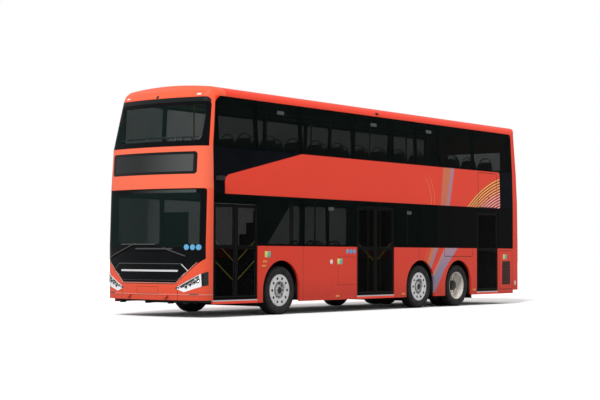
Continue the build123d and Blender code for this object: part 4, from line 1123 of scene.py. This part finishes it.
@dataclass
class NoseDress:
    """Lamps, dots, discs and rails of the nose."""

    finishes: Finishes
    look_x: float = 7.0
    disc_radius: float = 0.052
    disc_z: float = 1.293
    tow_y: float = 0.465
    tow_z: float = 0.400
    tow_x: float = 5.9805
    panel_low_z: float = 0.634
    frame_low_z: float = 0.685

    def on(self, node: str, y: float, z: float, lift: float = 0.0) -> Matrix:
        """The matrix of a place on the nose, seen straight from ahead."""
        place, normal = Shop.skin(node, (self.look_x, y, z), (-1.0, 0.0, 0.0))
        return Shop.stuck(place, normal, lift)

    def spot(self, node: str, y: float, z: float) -> Vector:
        """The place on the nose that is seen straight from ahead."""
        return Shop.skin(node, (self.look_x, y, z), (-1.0, 0.0, 0.0))[0]

    def line(self, name: str, node: str, spots: Iterable[tuple[float, float]], radius: float, material: Finish,
             slot: str, shift: Point = (0.0, 0.0, 0.0)) -> None:
        """A thin rod laid over places of the nose.

        Args:
            name: the piece's name.
            node: what it lies on.
            spots: Y and Z of each place.
            radius: the rod's radius.
            material: its finish.
            slot: not used.
            shift: how far its points are moved off the skin.
        """
        points = [tuple(self.spot(node, y, z) + Vector(shift)) for y, z in spots]
        Shop.dress(Shop.rod(name, points, radius), material, "body", slot)

    def discs(self) -> None:
        """Three blank round stickers on the windscreen's near side."""
        disc = Shop.lathe("disc_pattern", [(0.0, 0.0012), (self.disc_radius - 0.006, 0.0012),
                                           (self.disc_radius - 0.001, 0.001), (self.disc_radius, 0.0)], 28)
        copies = [Shop.twin(disc, self.on("windscreens", y, self.disc_z, 0.0002)) for y in (0.89, 1.015, 1.125)]
        Shop.group(copies, "screen_discs", self.finishes.disc_blue)
        Shop.drop(disc)

    def lamp_units(self) -> None:
        """Bowls, lenses and the light guide in each headlamp, and the small lamp rows round it."""
        f = self.finishes
        bowl = Shop.lathe("bowl_pattern", [(0.0, -0.002), (0.018, 0.001), (0.028, 0.004), (0.031, 0.006),
                                           (0.034, 0.006), (0.036, 0.0)], 24)
        lens = Shop.lathe("lens_pattern", [(0.0, 0.011), (0.008, 0.0105), (0.015, 0.008), (0.019, 0.003),
                                           (0.020, 0.0)], 20)
        cells = ((0.88, 0.570), (0.965, 0.612), (1.045, 0.652), (1.115, 0.700))
        guide = ((0.70, 0.560), (0.85, 0.636), (1.0, 0.715), (1.10, 0.766), (1.16, 0.796))
        end = ((1.18, 0.805), (1.18, 0.62))
        for side in Side:
            s = side.value
            for word, pattern, material in (("bowls", bowl, f.bowl), ("lenses", lens, f.black)):
                copies = [Shop.twin(pattern, self.on("headlamps", s * y, z)) for y, z in cells]
                Shop.group(copies, f"lamp_{word}_{side.word}", material, "body", "lamp_clear")
            self.line(f"light_guide_{side.word}", "headlamps", [(s * y, z) for y, z in guide], 0.007,
                      f.white_lamp, "lamp_clear", (0.002, 0.0, 0.0))
            self.line(f"lamp_edge_{side.word}", "headlamps", [(s * y, z) for y, z in end], 0.006, f.black,
                      "trim_black", (0.001, s * 0.001, 0.0))
            dot = Shop.lathe("dot_pattern", [(0.0, 0.004), (0.005, 0.0035), (0.007, 0.0)], 10)
            row = [Shop.twin(dot, self.on("front_panel", s * (0.80 + 0.022 * n), 0.775 + 0.014 * n))
                   for n in range(6)]
            Shop.group(row, f"panel_dots_{side.word}", f.white_lamp, "body", "lamp_clear")
            cell = Shop.slab("cell_pattern", (-0.014, -0.004, -0.011), (0.014, 0.006, 0.011), 0.004)
            row = [Shop.twin(cell, self.on("bumper", s * (0.96 + 0.036 * n), 0.436)) for n in range(5)]
            Shop.group(row, f"day_lamps_{side.word}", f.tag_dark, "body", "lamp_clear")
            Shop.drop(dot, cell)
        Shop.drop(bowl, lens)

    def tow_caps(self) -> None:
        """Body-coloured cups over the ends of the two tow sockets."""
        cap = Shop.lathe("tow_pattern", [(0.0, 0.004), (0.034, 0.004), (0.0375, 0.001), (0.0385, -0.003),
                                         (0.0385, -0.060), (0.0365, -0.060), (0.0365, 0.0005),
                                         (0.0, 0.0005)], 28)
        ahead = Vector((1.0, 0.0, 0.0))
        caps = [Shop.twin(cap, Shop.stuck(Vector((self.tow_x, side.value * self.tow_y, self.tow_z)), ahead))
                for side in Side]
        Shop.group(caps, "tow_covers", self.finishes.nose_red, "body", "body_red")
        Shop.drop(cap)

    def cap_lamps(self) -> None:
        """Two marker lamps and a small camera on the brow."""
        base = Shop.lathe("marker_pattern", [(0.0, 0.012), (0.022, 0.010), (0.032, 0.004), (0.034, 0.0)], 20)
        oval = Matrix.Diagonal((1.6, 1.0, 0.7, 1.0))
        lamps = [Shop.twin(base, self.on("front_cap", y, 4.135, -0.001) @ oval) for y in (-0.90, 0.90)]
        Shop.group(lamps, "brow_markers", self.finishes.white_lamp, "body", "lamp_clear")
        eye = Shop.twin(base, self.on("front_cap", -0.04, 4.12, -0.001))
        Shop.group([eye], "brow_camera", self.finishes.plastic, "body", "trim_black")
        Shop.drop(base)

    def rail(self) -> None:
        """The guard rail behind the upper windscreen, on posts that stand on the band below it."""
        foot, top, slope = 3.13, 3.33, 0.35
        across = [-1.02, -0.8, -0.5, -0.2, 0.2, 0.5, 0.8, 1.02]
        places = [(self.spot("front_band", y, 3.10).x - 0.045, y) for y in across]
        pieces = [Shop.rod("guard", [(x - slope * (height - 3.1), y, height) for x, y in places], 0.013,
                           sides=3) for height in (3.235, top)]
        pieces += [Shop.rod("guard_post", [(x, y, foot), (x - slope * 0.23, y, top)], 0.011, sides=3)
                   for x, y in places[1::2]]
        Shop.group(pieces, "guard_rail", self.finishes.sill, "body", "alloy_trim")

    def frame_line(self) -> None:
        """The painted highlight along the black panel's lower edge, its thin inner frame and the brackets below
        the nose.
        """
        f = self.finishes
        slant = [(0.664, self.panel_low_z), (0.80, 0.754), (0.94, 0.876), (1.02, 0.946), (1.10, 1.016)]
        level = [(y / 100, self.panel_low_z) for y in (-50, -36, -24, -12, 0, 12, 24, 36, 50)]
        # A pale rod along the black panel's lower edge: a painted highlight.
        self.line("panel_edge", "front_panel", [*((-y, z) for y, z in reversed(slant)), *level, *slant], 0.006,
                  f.edge_light, "body_red")
        slant = [(0.66, self.frame_low_z), (0.755, 0.743), (0.85, 0.80)]
        level = [(y, self.frame_low_z) for y in (-0.5, -0.35, -0.2, 0.0, 0.2, 0.35, 0.5)]
        self.line("panel_frame", "front_panel", [*((-y, z) for y, z in reversed(slant)), *level, *slant], 0.004,
                  f.nut_metal, "alloy_trim")
        hooks = [Shop.slab("hook", (5.70, y - 0.03, 0.25), (5.82, y + 0.03, 0.318), 0.008)
                 for y in (-0.80, -0.15, 0.42, 0.80)]
        bar = Shop.slab("valance", (5.62, -0.95, 0.296), (5.80, 0.95, 0.322), 0.01)
        Shop.group(hooks + [bar], "nose_brackets", f.chassis, "body", "chassis_steel")

    def build(self) -> None:
        """Makes the nose's pieces."""
        for step in (self.discs, self.lamp_units, self.tow_caps, self.cap_lamps, self.rail, self.frame_line):
            step()


@dataclass
class Seating:
    """Padded double seats on both decks and the driver's seat."""

    finishes: Finishes
    pad_wide: float = 0.40
    cushion_low: float = 0.345
    cushion_high: float = 0.425
    cushion_rear: float = 0.09
    seat_depth: float = 0.42
    back_thick: float = 0.055
    back_low: float = 0.45
    back_high: float = 1.03
    crown_reach: float = 0.16
    crown_in: float = 0.26
    lean: float = math.atan2(0.07, 0.78)
    voxel: float = 0.013
    pressure: float = 4.0
    swell: float = 0.012
    seam_in: float = 0.045
    frames: int = 20
    keep_faces: float = 0.16
    wall: float = 1.157
    row_front: float = 4.35
    row_pitch: float = 0.76
    rows: int = 13
    upper_floor: float = 2.36
    lower_floor: float = 0.32
    lower_rows: tuple[tuple[float, int], ...] = ((2.2, 1), (1.4, 1), (0.28, -1), (-0.48, -1), (-4.3, -1),
                                                 (-4.88, -1))
    stairs: tuple[float, float] = (0.9, 2.85)
    insets: tuple[float, float] = (0.215, 0.645)
    driver: Point = (4.33, -0.76, 0.32)
    pivot_z: float = 0.34
    shell_top: float = 0.70
    rib_pitch: float = 0.11
    sunk_half: float = 0.012
    grip_half: float = 0.165
    grip_z: float = 0.965

    def padded(self, name: str, low: Point, high: Point, thin: int) -> Piece:
        """A pad that has swelled under pressure inside its cover.

        Args:
            name: the pad's name.
            low: lowest corner before it swells.
            high: highest corner before it swells.
            thin: the axis across the pad, 0 for a back and 2 for a cushion.

        Returns:
            The pad, with a seam sewn round its face.
        """
        pad = Shop.slab(name, low, high, 0.022, 3)
        self.swollen(pad)
        across = [axis for axis in range(3) if axis != thin]
        for vertex in pad.data.vertices:
            edge = min(min(abs(vertex.co[axis] - low[axis]), abs(high[axis] - vertex.co[axis]))
                       for axis in across)
            up = vertex.co[across[1]] - low[across[1]]
            rib = abs((up / self.rib_pitch + 0.5) % 1.0 - 0.5) * self.rib_pitch
            sunk = max(0.0, 1.0 - abs(edge - self.seam_in) / self.sunk_half) * 0.006
            if edge > self.seam_in:
                sunk = max(sunk, max(0.0, 1.0 - rib / self.sunk_half) * 0.005)
            vertex.co -= vertex.normal * sunk * abs(vertex.normal[thin])
        return pad

    def crown(self, piece: Piece, top: float) -> None:
        """Draws a back's sides in towards its top, so that it ends in an arch."""
        for vertex in piece.data.vertices:
            share = max(0.0, (vertex.co.z - top + self.crown_reach) / self.crown_reach)
            vertex.co.y *= 1.0 - self.crown_in * share * share

    def swollen(self, pad: Piece) -> None:
        """Fills a pad with pressure as cloth, holds its points near their start and applies it."""
        remesh = pad.modifiers.new("even", "REMESH")
        remesh.mode, remesh.voxel_size = "VOXEL", self.voxel
        bpy.ops.object.modifier_apply(modifier="even")
        start = [vertex.co.copy() for vertex in pad.data.vertices]
        cloth = pad.modifiers.new("cover", "CLOTH")
        cloth.settings.use_pressure = True
        cloth.settings.uniform_pressure_force = self.pressure
        cloth.settings.effector_weights.gravity = 0.0
        cloth.point_cache.frame_start, cloth.point_cache.frame_end = 1, self.frames
        for number in range(1, self.frames + 1):
            bpy.context.scene.frame_set(number)
        bpy.ops.object.modifier_apply(modifier="cover")
        bpy.context.scene.frame_set(1)
        for vertex, place in zip(pad.data.vertices, start):
            shift = vertex.co - place
            vertex.co = place + shift * min(1.0, self.swell / max(shift.length, 1e-6))
        fewer = pad.modifiers.new("fewer", "DECIMATE")
        fewer.ratio = self.keep_faces
        bpy.ops.object.modifier_apply(modifier="fewer")
        log.info("pad %s swelled to %d faces", pad.name, len(pad.data.polygons))

    def places(self) -> dict[str, list[Point]]:
        """Rear station, middle across and floor of every single place, by deck."""
        stairs_rear, stairs_front = self.stairs
        upper = []
        for row in range(self.rows):
            station = self.row_front - row * self.row_pitch
            upper.append((station, 1))
            if station > stairs_front or station + 0.43 < stairs_rear:
                upper.append((station, -1))
        decks = {"upper": (upper, self.upper_floor), "lower": (self.lower_rows, self.lower_floor)}
        return {deck: [(station, side * (self.wall - inset), floor) for station, side in rows
                       for inset in self.insets] for deck, (rows, floor) in decks.items()}

    def build(self) -> None:
        """Sets pads, shells, frames and grab handles on their places."""
        f, half, rise = self.finishes, self.pad_wide / 2, self.pivot_z
        wide = half + 0.008
        cushion = self.padded("cushion_pattern", (self.cushion_rear, -half, self.cushion_low + 0.008),
                              (self.seat_depth, half, self.cushion_high - 0.008), 2)
        back = self.padded("back_pattern", (0.012, -half, self.back_low - rise),
                           (0.012 + self.back_thick, half, self.back_high - rise), 0)
        tilt = Matrix.Translation((0, 0, rise)) @ Matrix.Rotation(-self.lean, 4, "Y")
        self.crown(back, self.back_high - rise)
        Shop.fix(back, tilt)
        shell = Shop.slab("shell_pattern", (-0.004, -wide, 0.02), (0.008, wide, self.shell_top), 0.005)
        with Shop.editing():
            bpy.ops.mesh.subdivide(number_cuts=5)
        self.crown(shell, self.shell_top)
        Shop.fix(shell, tilt)
        pan = Shop.slab("pan_pattern", (0.04, -wide, 0.318), (0.41, wide, 0.344), 0.01)
        leg = Shop.rod("leg_pattern", [(0.20, 0, 0.32), (0.18, 0, 0.2), (0.18, 0, 0.004)], 0.02, sides=3)
        foot = Shop.slab("foot_pattern", (0.11, -0.03, 0.0), (0.27, 0.03, 0.012), 0.003)
        arch = [(-0.066, self.grip_half * math.cos(angle), self.grip_z + self.grip_half * math.sin(angle))
                for angle in (math.pi * step / 10 for step in range(11))]
        ends = [(-0.050, y, 0.88) for y in (self.grip_half, -self.grip_half)]
        grip = Shop.rod("grip_pattern", [ends[0], *arch, ends[1]], 0.011, sides=3)
        for deck, places in self.places().items():
            if deck == "lower":
                places.append(self.driver)
            spots = [Matrix.Translation(place) for place in places]

            def spread(*patterns: Piece) -> list[Piece]:
                """A copy of each pattern on each place of this deck."""
                return [Shop.twin(pattern, spot) for spot in spots for pattern in patterns]
            pads = Shop.join(spread(cushion, back), f"pads_{deck}")
            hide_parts(f"seats_{deck}")
            Shop.dress(pads, f.cloth, "body", "seat_cloth", 60.0)
            Shop.group(spread(shell, pan), f"seat_shells_{deck}", f.seat_shell, "body", "seat_cloth")
            Shop.group(spread(leg, foot), f"seat_legs_{deck}", f.chassis, "body", "chassis_steel")
            Shop.group(spread(grip), f"seat_grips_{deck}", f.plastic, "body", "trim_black")
        Shop.drop(cushion, back, shell, pan, leg, foot, grip)


@dataclass
class CabinDress:
    """Lining, poles and rails that show through the windows."""

    finishes: Finishes
    pole: float = 0.016
    aisle: float = 0.30
    rail_z: float = 4.04
    head_z: float = 4.10
    floor_z: float = 2.36
    rail_ends: tuple[float, float] = (4.7, -4.9)
    pole_stations: tuple[float, ...] = (4.33, 2.81, 1.29, -0.23, -1.75, -3.27)
    stairs: tuple[float, float] = (0.8, 2.9)

    def ceiling(self, name: str, front: float, low: float, high: float) -> None:
        """A lining sheet over a deck, from the rear wall to its front end."""
        sheet = Shop.slab(name, (-5.55, -1.12, low), (front, 1.12, high), 0.002)
        Shop.dress(sheet, self.finishes.lining, "body", "floor_covering")

    def build(self) -> None:
        """Makes both decks' ceilings, and the upper deck's poles and hand rails."""
        self.ceiling("upper_ceiling", 5.0, 4.098, 4.106)
        ahead, behind = self.rail_ends
        poles, rails = [], []
        for x in self.pole_stations:
            for side in Side:
                y = side.value * self.aisle
                if side is Side.RIGHT and self.stairs[0] < x < self.stairs[1]:
                    continue
                poles.append(Shop.rod("pole", [(x, y, self.floor_z), (x, y, self.head_z)], self.pole, sides=3))
        Shop.group(poles, "upper_poles", self.finishes.rail, "body", "rail_paint")
        for side in Side:
            y = side.value * self.aisle
            rails.append(Shop.rod("rail", [(ahead, y, self.head_z), (ahead, y, self.rail_z),
                                           (behind, y, self.rail_z), (behind, y, self.head_z)], 0.013, sides=3))
        Shop.group(rails, "upper_rails", self.finishes.rail, "body", "rail_paint")
        self.ceiling("lower_ceiling", 0.85, 2.285, 2.298)


@dataclass
class SideDress:
    """Lamps, tags and small marks of both sides."""

    finishes: Finishes
    look_y: float = 1.6
    tag_step: float = 0.09
    grille_x: tuple[float, float] = (-5.48, -5.12)
    grille_z: tuple[float, float] = (0.47, 1.03)
    slats: int = 14
    slat_turn: float = -18.0

    def on(self, node: str, x: float, z: float, side: Side, lift: float = 0.0) -> Matrix:
        """The matrix of a place on a side, seen straight from that side."""
        place, normal = Shop.skin(node, (x, side.value * self.look_y, z), (0.0, -side.value, 0.0))
        return Shop.stuck(place, normal, lift)

    def blank(self, name: str, node: str, spots: Sequence[tuple[float, float]], size: tuple[float, float],
              material: Finish, sides: Iterable[Side] = (Side.LEFT,), thick: float = 0.0012,
              round_off: float = 0.001) -> None:
        """Small blank plates or lamps on a side, as one piece.

        Args:
            name: the piece's name.
            node: what they sit on.
            spots: X and Z of each.
            size: length and height.
            material: their finish.
            sides: the sides that carry them.
            thick: how far they stand out.
            round_off: how far their edges are rounded.
        """
        long, high = size[0] / 2, size[1] / 2
        plate = Shop.slab("plate_pattern", (-long, -0.0008, -high), (long, thick, high), round_off)
        self.spread(plate, name, node, spots, material, "lamp_clear" if "lamp" in name else "trim_black", sides)

    def spread(self, pattern: Piece, name: str, node: str, spots: Sequence[tuple[float, float]],
               material: Finish, slot: str = "", sides: Iterable[Side] = (Side.LEFT,),
               lift: float = 0.0) -> None:
        """Lays copies of a pattern on places of a side as one piece, and drops the pattern."""
        copies = [Shop.twin(pattern, self.on(node, x, z, side, lift)) for side in sides for x, z in spots]
        Shop.group(copies, name, material, "body", slot)
        Shop.drop(pattern)

    def build(self) -> None:
        """Makes the side's pieces."""
        f = self.finishes
        both = tuple(Side)
        markers = [(4.01, 1.03), (4.04, 0.946), (1.64, 0.322), (-0.80, 0.322), (-3.80, 0.365)]
        for side in both:
            self.blank(f"side_markers_lamp_{side.word}", f"{side.word}_panels", markers, (0.13, 0.045), f.amber,
                       (side,), 0.007, 0.006)
        tag, tags = (0.085, 0.115), [(3.975, 1.17), (1.605, 1.03), (-5.20, 1.13)]
        self.blank("side_tag_lime", "left_panels", tags, tag, f.tag_lime)
        self.blank("side_tag_teal", "left_panels", [(x - self.tag_step, z) for x, z in tags], tag, f.tag_teal)
        self.blank("window_tag_upper", "left_glass", [(3.474, 3.926), (0.268, 3.923), (-1.91, 3.924)],
                   (0.22, 0.07), f.tag_dark)
        self.blank("window_tag_lower", "left_glass", [(1.87, 2.095), (-1.024, 2.085)], (0.18, 0.07), f.tag_dark)
        self.blank("tail_corner_lamp", "rear_wall", [(-5.743, 0.50)], (0.05, 0.10), f.white_lamp, both,
                   0.004, 0.003)
        lamp = Shop.lathe("ring_pattern", [(0.0, 0.007), (0.034, 0.006), (0.045, 0.003), (0.048, 0.0)], 24)
        self.spread(lamp, "side_round_lamp", "left_panels", [(1.85, 1.02)], f.white_lamp, "lamp_clear")
        disc = Shop.lathe("side_disc_pattern", [(0.0, 0.0012), (0.044, 0.0012), (0.048, 0.0)], 28)
        self.spread(disc, "side_discs", "left_panels", [(x, 1.235) for x in (1.29, 1.17, 1.05)], f.disc_blue,
                    lift=0.0002)
        eye = Shop.slab("eye_pattern", (-0.05, -0.004, -0.025), (0.05, 0.012, 0.025), 0.008)
        self.spread(eye, "side_cameras", "roof", [(0.12, 4.17)], f.plastic, "trim_black", both)
        lens = Shop.lathe("lens_small", [(0.0, 0.010), (0.012, 0.008), (0.018, 0.0)], 16)
        self.spread(lens, "hatch_lock", "left_panels", [(-4.463, 2.533)], f.black)
        self.tail_grilles()

    def tail_grilles(self) -> None:
        """Louvred grilles low on the tail of both sides, slats and posts on a thin dark back that is painted
        shade behind the slats.
        """
        (rear, front), (low, high) = self.grille_x, self.grille_z
        middle_x, middle_z = (rear + front) / 2, (low + high) / 2
        half, tall = (front - rear) / 2, (high - low) / 2
        tilt = Matrix.Rotation(math.radians(self.slat_turn), 4, "X")
        for side in Side:
            node = f"{side.word}_panels"
            pieces = []
            for number in range(self.slats):
                z = low + (high - low) * (number + 0.5) / self.slats
                slat = Shop.slab("slat", (-half + 0.012, -0.002, -0.006), (half - 0.012, 0.007, 0.008), 0.002)
                pieces.append(Shop.fix(slat, self.on(node, middle_x, z, side) @ tilt))
            # The thin dark back stands for the shade behind the slats: painted shade.
            back = Shop.slab("back", (-half, -0.002, -tall), (half, 0.003, tall), 0.001)
            pieces.append(Shop.fix(back, self.on(node, middle_x, middle_z, side)))
            for x in (rear, front):
                post = Shop.slab("post", (-0.010, -0.002, -tall), (0.010, 0.008, tall), 0.003)
                pieces.append(Shop.fix(post, self.on(node, x, middle_z, side)))
            Shop.group(pieces, f"tail_grille_{side.word}", self.finishes.grille, "body", "body_red")


@dataclass
class DoorDress:
    """Grab bars and seals that ride on the door leaves."""

    finishes: Finishes
    pane_y: float = 1.2148
    bar: float = 0.008
    bar_top: float = 1.334
    bar_low: float = 1.271

    def rails(self, leaf: str, lines: Sequence[Line]) -> None:
        """Slanted grab bars behind a leaf's panes, from rim to rim within its thickness."""
        bars = [Shop.rod("bar", [(x, self.pane_y, z) for x, z in ends], self.bar, sides=3) for ends in lines]
        Shop.group(bars, f"grab_bars_{leaf}", self.finishes.bar_yellow, f"door_{leaf}", "rail_paint")

    def seal(self, leaf: str) -> None:
        """A rubber lip round a leaf's outer face and a bead round its panes."""
        low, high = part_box(f"door_{leaf}")
        pane_low, pane_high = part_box(f"door_{leaf}_glass")
        pane_x = (pane_low[0] + 0.004, pane_high[0] - 0.004)
        lips = (((low[0] + 0.008, high[0] - 0.008), (low[2] + 0.06, high[2] - 0.008), high[1] - 0.001, 0.004),
                (pane_x, (self.bar_top, pane_high[2] - 0.004), pane_high[1], 0.005),
                (pane_x, (pane_low[2] + 0.004, self.bar_low), pane_high[1], 0.005))
        pieces = []
        for (x0, x1), (z0, z1), y, thick in lips:
            corners = [(x0, y, z0), (x1, y, z0), (x1, y, z1), (x0, y, z1)]
            pieces.append(Shop.rod("bead", corners, thick, closed=True, sides=1))
        Shop.group(pieces, f"seal_{leaf}", self.finishes.rubber, f"door_{leaf}", "trim_black")

    def build(self) -> None:
        """Makes the doors' pieces."""
        self.rails("front_a", [((5.45, 1.42), (4.93, 1.05)), ((5.45, 1.05), (4.93, 0.69))])
        self.rails("front_b", [((4.80, 1.05), (4.29, 1.42)), ((4.80, 0.69), (4.29, 1.05))])
        self.rails("middle_a", [((0.88, 1.42), (0.31, 1.05))])
        self.rails("middle_b", [((0.19, 1.05), (-0.38, 1.42))])
        for leaf in ("front_a", "front_b", "middle_a", "middle_b", "rear_a"):
            self.seal(leaf)


@dataclass
class TailDress:
    """Lamp rings, blank route window and plate, bumper bar, high lamps, bay handle and mud flaps."""

    finishes: Finishes
    look_x: float = -7.0
    handle_z: float = 0.72
    flap_y: float = 0.93

    def on(self, node: str, y: float, z: float, lift: float = 0.0) -> Matrix:
        """The matrix of a place on the rear, seen straight from behind."""
        place, normal = Shop.skin(node, (self.look_x, y, z), (1.0, 0.0, 0.0))
        return Shop.stuck(place, normal, lift)

    def build(self) -> None:
        """Makes the tail's pieces."""
        f = self.finishes
        ring = Shop.lathe("tail_ring", [(0.054, 0.004), (0.057, 0.012), (0.064, 0.012), (0.068, 0.0),
                                        (0.068, -0.002), (0.054, -0.002), (0.054, 0.004)], 32)
        rings = [Shop.twin(ring, self.on("rear_wall", y, z)) for y in (-1.04, 1.04) for z in (0.9, 1.05, 1.2)]
        Shop.group(rings, "tail_lamp_rings", f.chrome, "body", "alloy_trim")
        for name, (wide, tall), (back, front), round_off, segments, (y, z), material, slot in (
                ("plate_recess", (0.27, 0.06), (-0.001, 0.006), 0.004, 2, (0.0, 0.50), f.black, "body_black"),
                ("rear_route_window", (0.30, 0.11), (-0.001, 0.004), 0.004, 2, (0.62, 2.55), f.screen,
                 "display_panel"),
                ("tail_bumper", (0.98, 0.05), (-0.002, 0.010), 0.006, 3, (0.0, 0.40), f.plastic, "trim_black")):
            plate = Shop.slab(name, (-wide, back, -tall), (wide, front, tall), round_off, segments)
            Shop.dress(Shop.fix(plate, self.on("rear_wall", y, z)), material, "body", slot)
        marker = Shop.slab("high_marker", (-0.07, -0.001, -0.018), (0.07, 0.012, 0.018), 0.006)
        markers = [Shop.twin(marker, self.on("rear_wall", y, 3.98)) for y in (-0.95, 0.95)]
        Shop.group(markers, "tail_high_lamps", f.red_lamp, "body", "lamp_red")
        grip = [(x, y, self.handle_z) for y, ends in ((-0.12, (-5.984, -5.9935)), (0.12, (-5.9935, -5.984)))
                for x in ends]
        Shop.dress(Shop.rod("bay_handle", grip, 0.0045, sides=3), f.nut_metal, "bay_flap", "alloy_trim")
        for x, name in ((-3.80, "mud_flaps_drive"), (-2.22, "mud_flaps_middle")):
            flaps = [Shop.slab("flap", (x, y - 0.25, 0.17), (x + 0.008, y + 0.25, 0.40), 0.003)
                     for y in (side.value * self.flap_y for side in Side)]
            Shop.group(flaps, name, f.rubber, "body", "trim_black")
        Shop.drop(ring, marker)


@dataclass(frozen=True)
class Studio:
    """Camera at the photograph's place, soft light and pale floor."""

    place: Point = (26.0715, 18.8961, 1.1691)
    yaw: float = 217.3106
    pitch: float = 2.1142
    roll: float = 0.2309
    lens: float = 88.49
    world_light: float = 0.92
    seen_light: float = 1.0
    glossy_light: float = 0.35
    sun_strength: float = 2.5
    sun_turn: float = 18.0
    sun_height: float = 48.0
    sun_wide: float = 12.0
    floor_tone: Colour = (0.9, 0.9, 0.9)
    floor_bounce: Colour = (0.28, 0.28, 0.28)

    def camera(self) -> None:
        """Puts the camera where the photograph was taken from."""
        yaw, pitch, roll = (math.radians(angle) for angle in (self.yaw, self.pitch, self.roll))
        ahead = Vector((math.cos(yaw) * math.cos(pitch), math.sin(yaw) * math.cos(pitch), math.sin(pitch)))
        level = ahead.cross(Vector((0, 0, 1))).normalized()
        upright = level.cross(ahead)
        right = level * math.cos(roll) + upright * math.sin(roll)
        up = upright * math.cos(roll) - level * math.sin(roll)
        data = bpy.data.cameras.new("photo_camera")
        data.lens, data.sensor_width, data.clip_end = self.lens, 36.0, 500.0
        camera = bpy.data.objects.new("photo_camera", data)
        bpy.context.scene.collection.objects.link(camera)
        turn = Matrix((right, up, -ahead)).transposed().to_4x4()
        camera.matrix_world = Matrix.Translation(Vector(self.place)) @ turn
        bpy.context.scene.camera = camera
        camera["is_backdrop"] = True

    def light(self) -> None:
        """White surroundings and one wide soft sun."""
        world = bpy.data.worlds.new("studio")
        bpy.context.scene.world = world
        world.use_nodes = True
        tree = world.node_tree
        tree.nodes.clear()
        path = tree.nodes.new("ShaderNodeLightPath")
        strength = None
        for ray, level in (("Is Camera Ray", self.seen_light), ("Is Transmission Ray", self.seen_light),
                           ("Is Glossy Ray", self.glossy_light)):
            mix = tree.nodes.new("ShaderNodeMix")
            tree.links.new(path.outputs[ray], mix.inputs[0])
            mix.inputs[2].default_value, mix.inputs[3].default_value = self.world_light, level
            if strength is not None:
                tree.links.new(strength, mix.inputs[2])
            strength = mix.outputs[0]
        back = tree.nodes.new("ShaderNodeBackground")
        back.inputs["Color"].default_value = (1, 1, 1, 1)
        tree.links.new(strength, back.inputs["Strength"])
        output = tree.nodes.new("ShaderNodeOutputWorld")
        tree.links.new(back.outputs[0], output.inputs[0])
        bpy.ops.object.light_add(type="SUN", location=(0, 0, 12))
        sun = bpy.context.object
        sun.name = "soft_sun"
        sun.data.energy, sun.data.angle = self.sun_strength, math.radians(self.sun_wide)
        sun.rotation_euler = (math.radians(90 - self.sun_height), 0, math.radians(self.sun_turn + 90))
        sun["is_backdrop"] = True

    def floor(self) -> None:
        """A pale floor with a faint wide grain."""
        bpy.ops.mesh.primitive_plane_add(size=400)
        ground = bpy.context.object
        ground.name = "floor"
        graph = Graph("pale_floor")
        shade = graph.blend(graph.noise(0.05, 2.0) * 0.15, self.floor_tone, toned(self.floor_tone, 0.97))
        seen = graph.node("ShaderNodeLightPath", {}, {}).outputs["Is Camera Ray"]
        shade = graph.blend(seen, self.floor_bounce, shade)
        ground.data.materials.append(graph.surface(shade, 0.9, Specular_IOR_Level=0.05))
        ground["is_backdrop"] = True

    def build(self) -> None:
        """Sets camera, light and floor, and how the picture is developed."""
        self.camera()
        self.light()
        self.floor()
        bpy.context.scene.view_settings.view_transform = "Standard"


def main() -> dict[str, int]:
    """Dresses the frame.

    Returns:
        Faces of every piece, by its name.
    """
    logging.basicConfig(level=logging.INFO, format="%(message)s")
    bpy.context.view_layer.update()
    finishes = Finishes()
    CadDress(finishes).build()
    for part in (WheelDress, NoseDress, Seating, CabinDress, SideDress, DoorDress, TailDress):
        part(finishes).build()
        log.info("%s is done", part.__name__)
    Studio().build()
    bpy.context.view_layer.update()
    faces = {piece.name: len(piece.data.polygons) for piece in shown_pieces() if piece.type == "MESH"}
    for name, count in faces.items():
        log.info("%s has %d faces", name, count)
    return faces


if __name__ == "__main__":
    main()
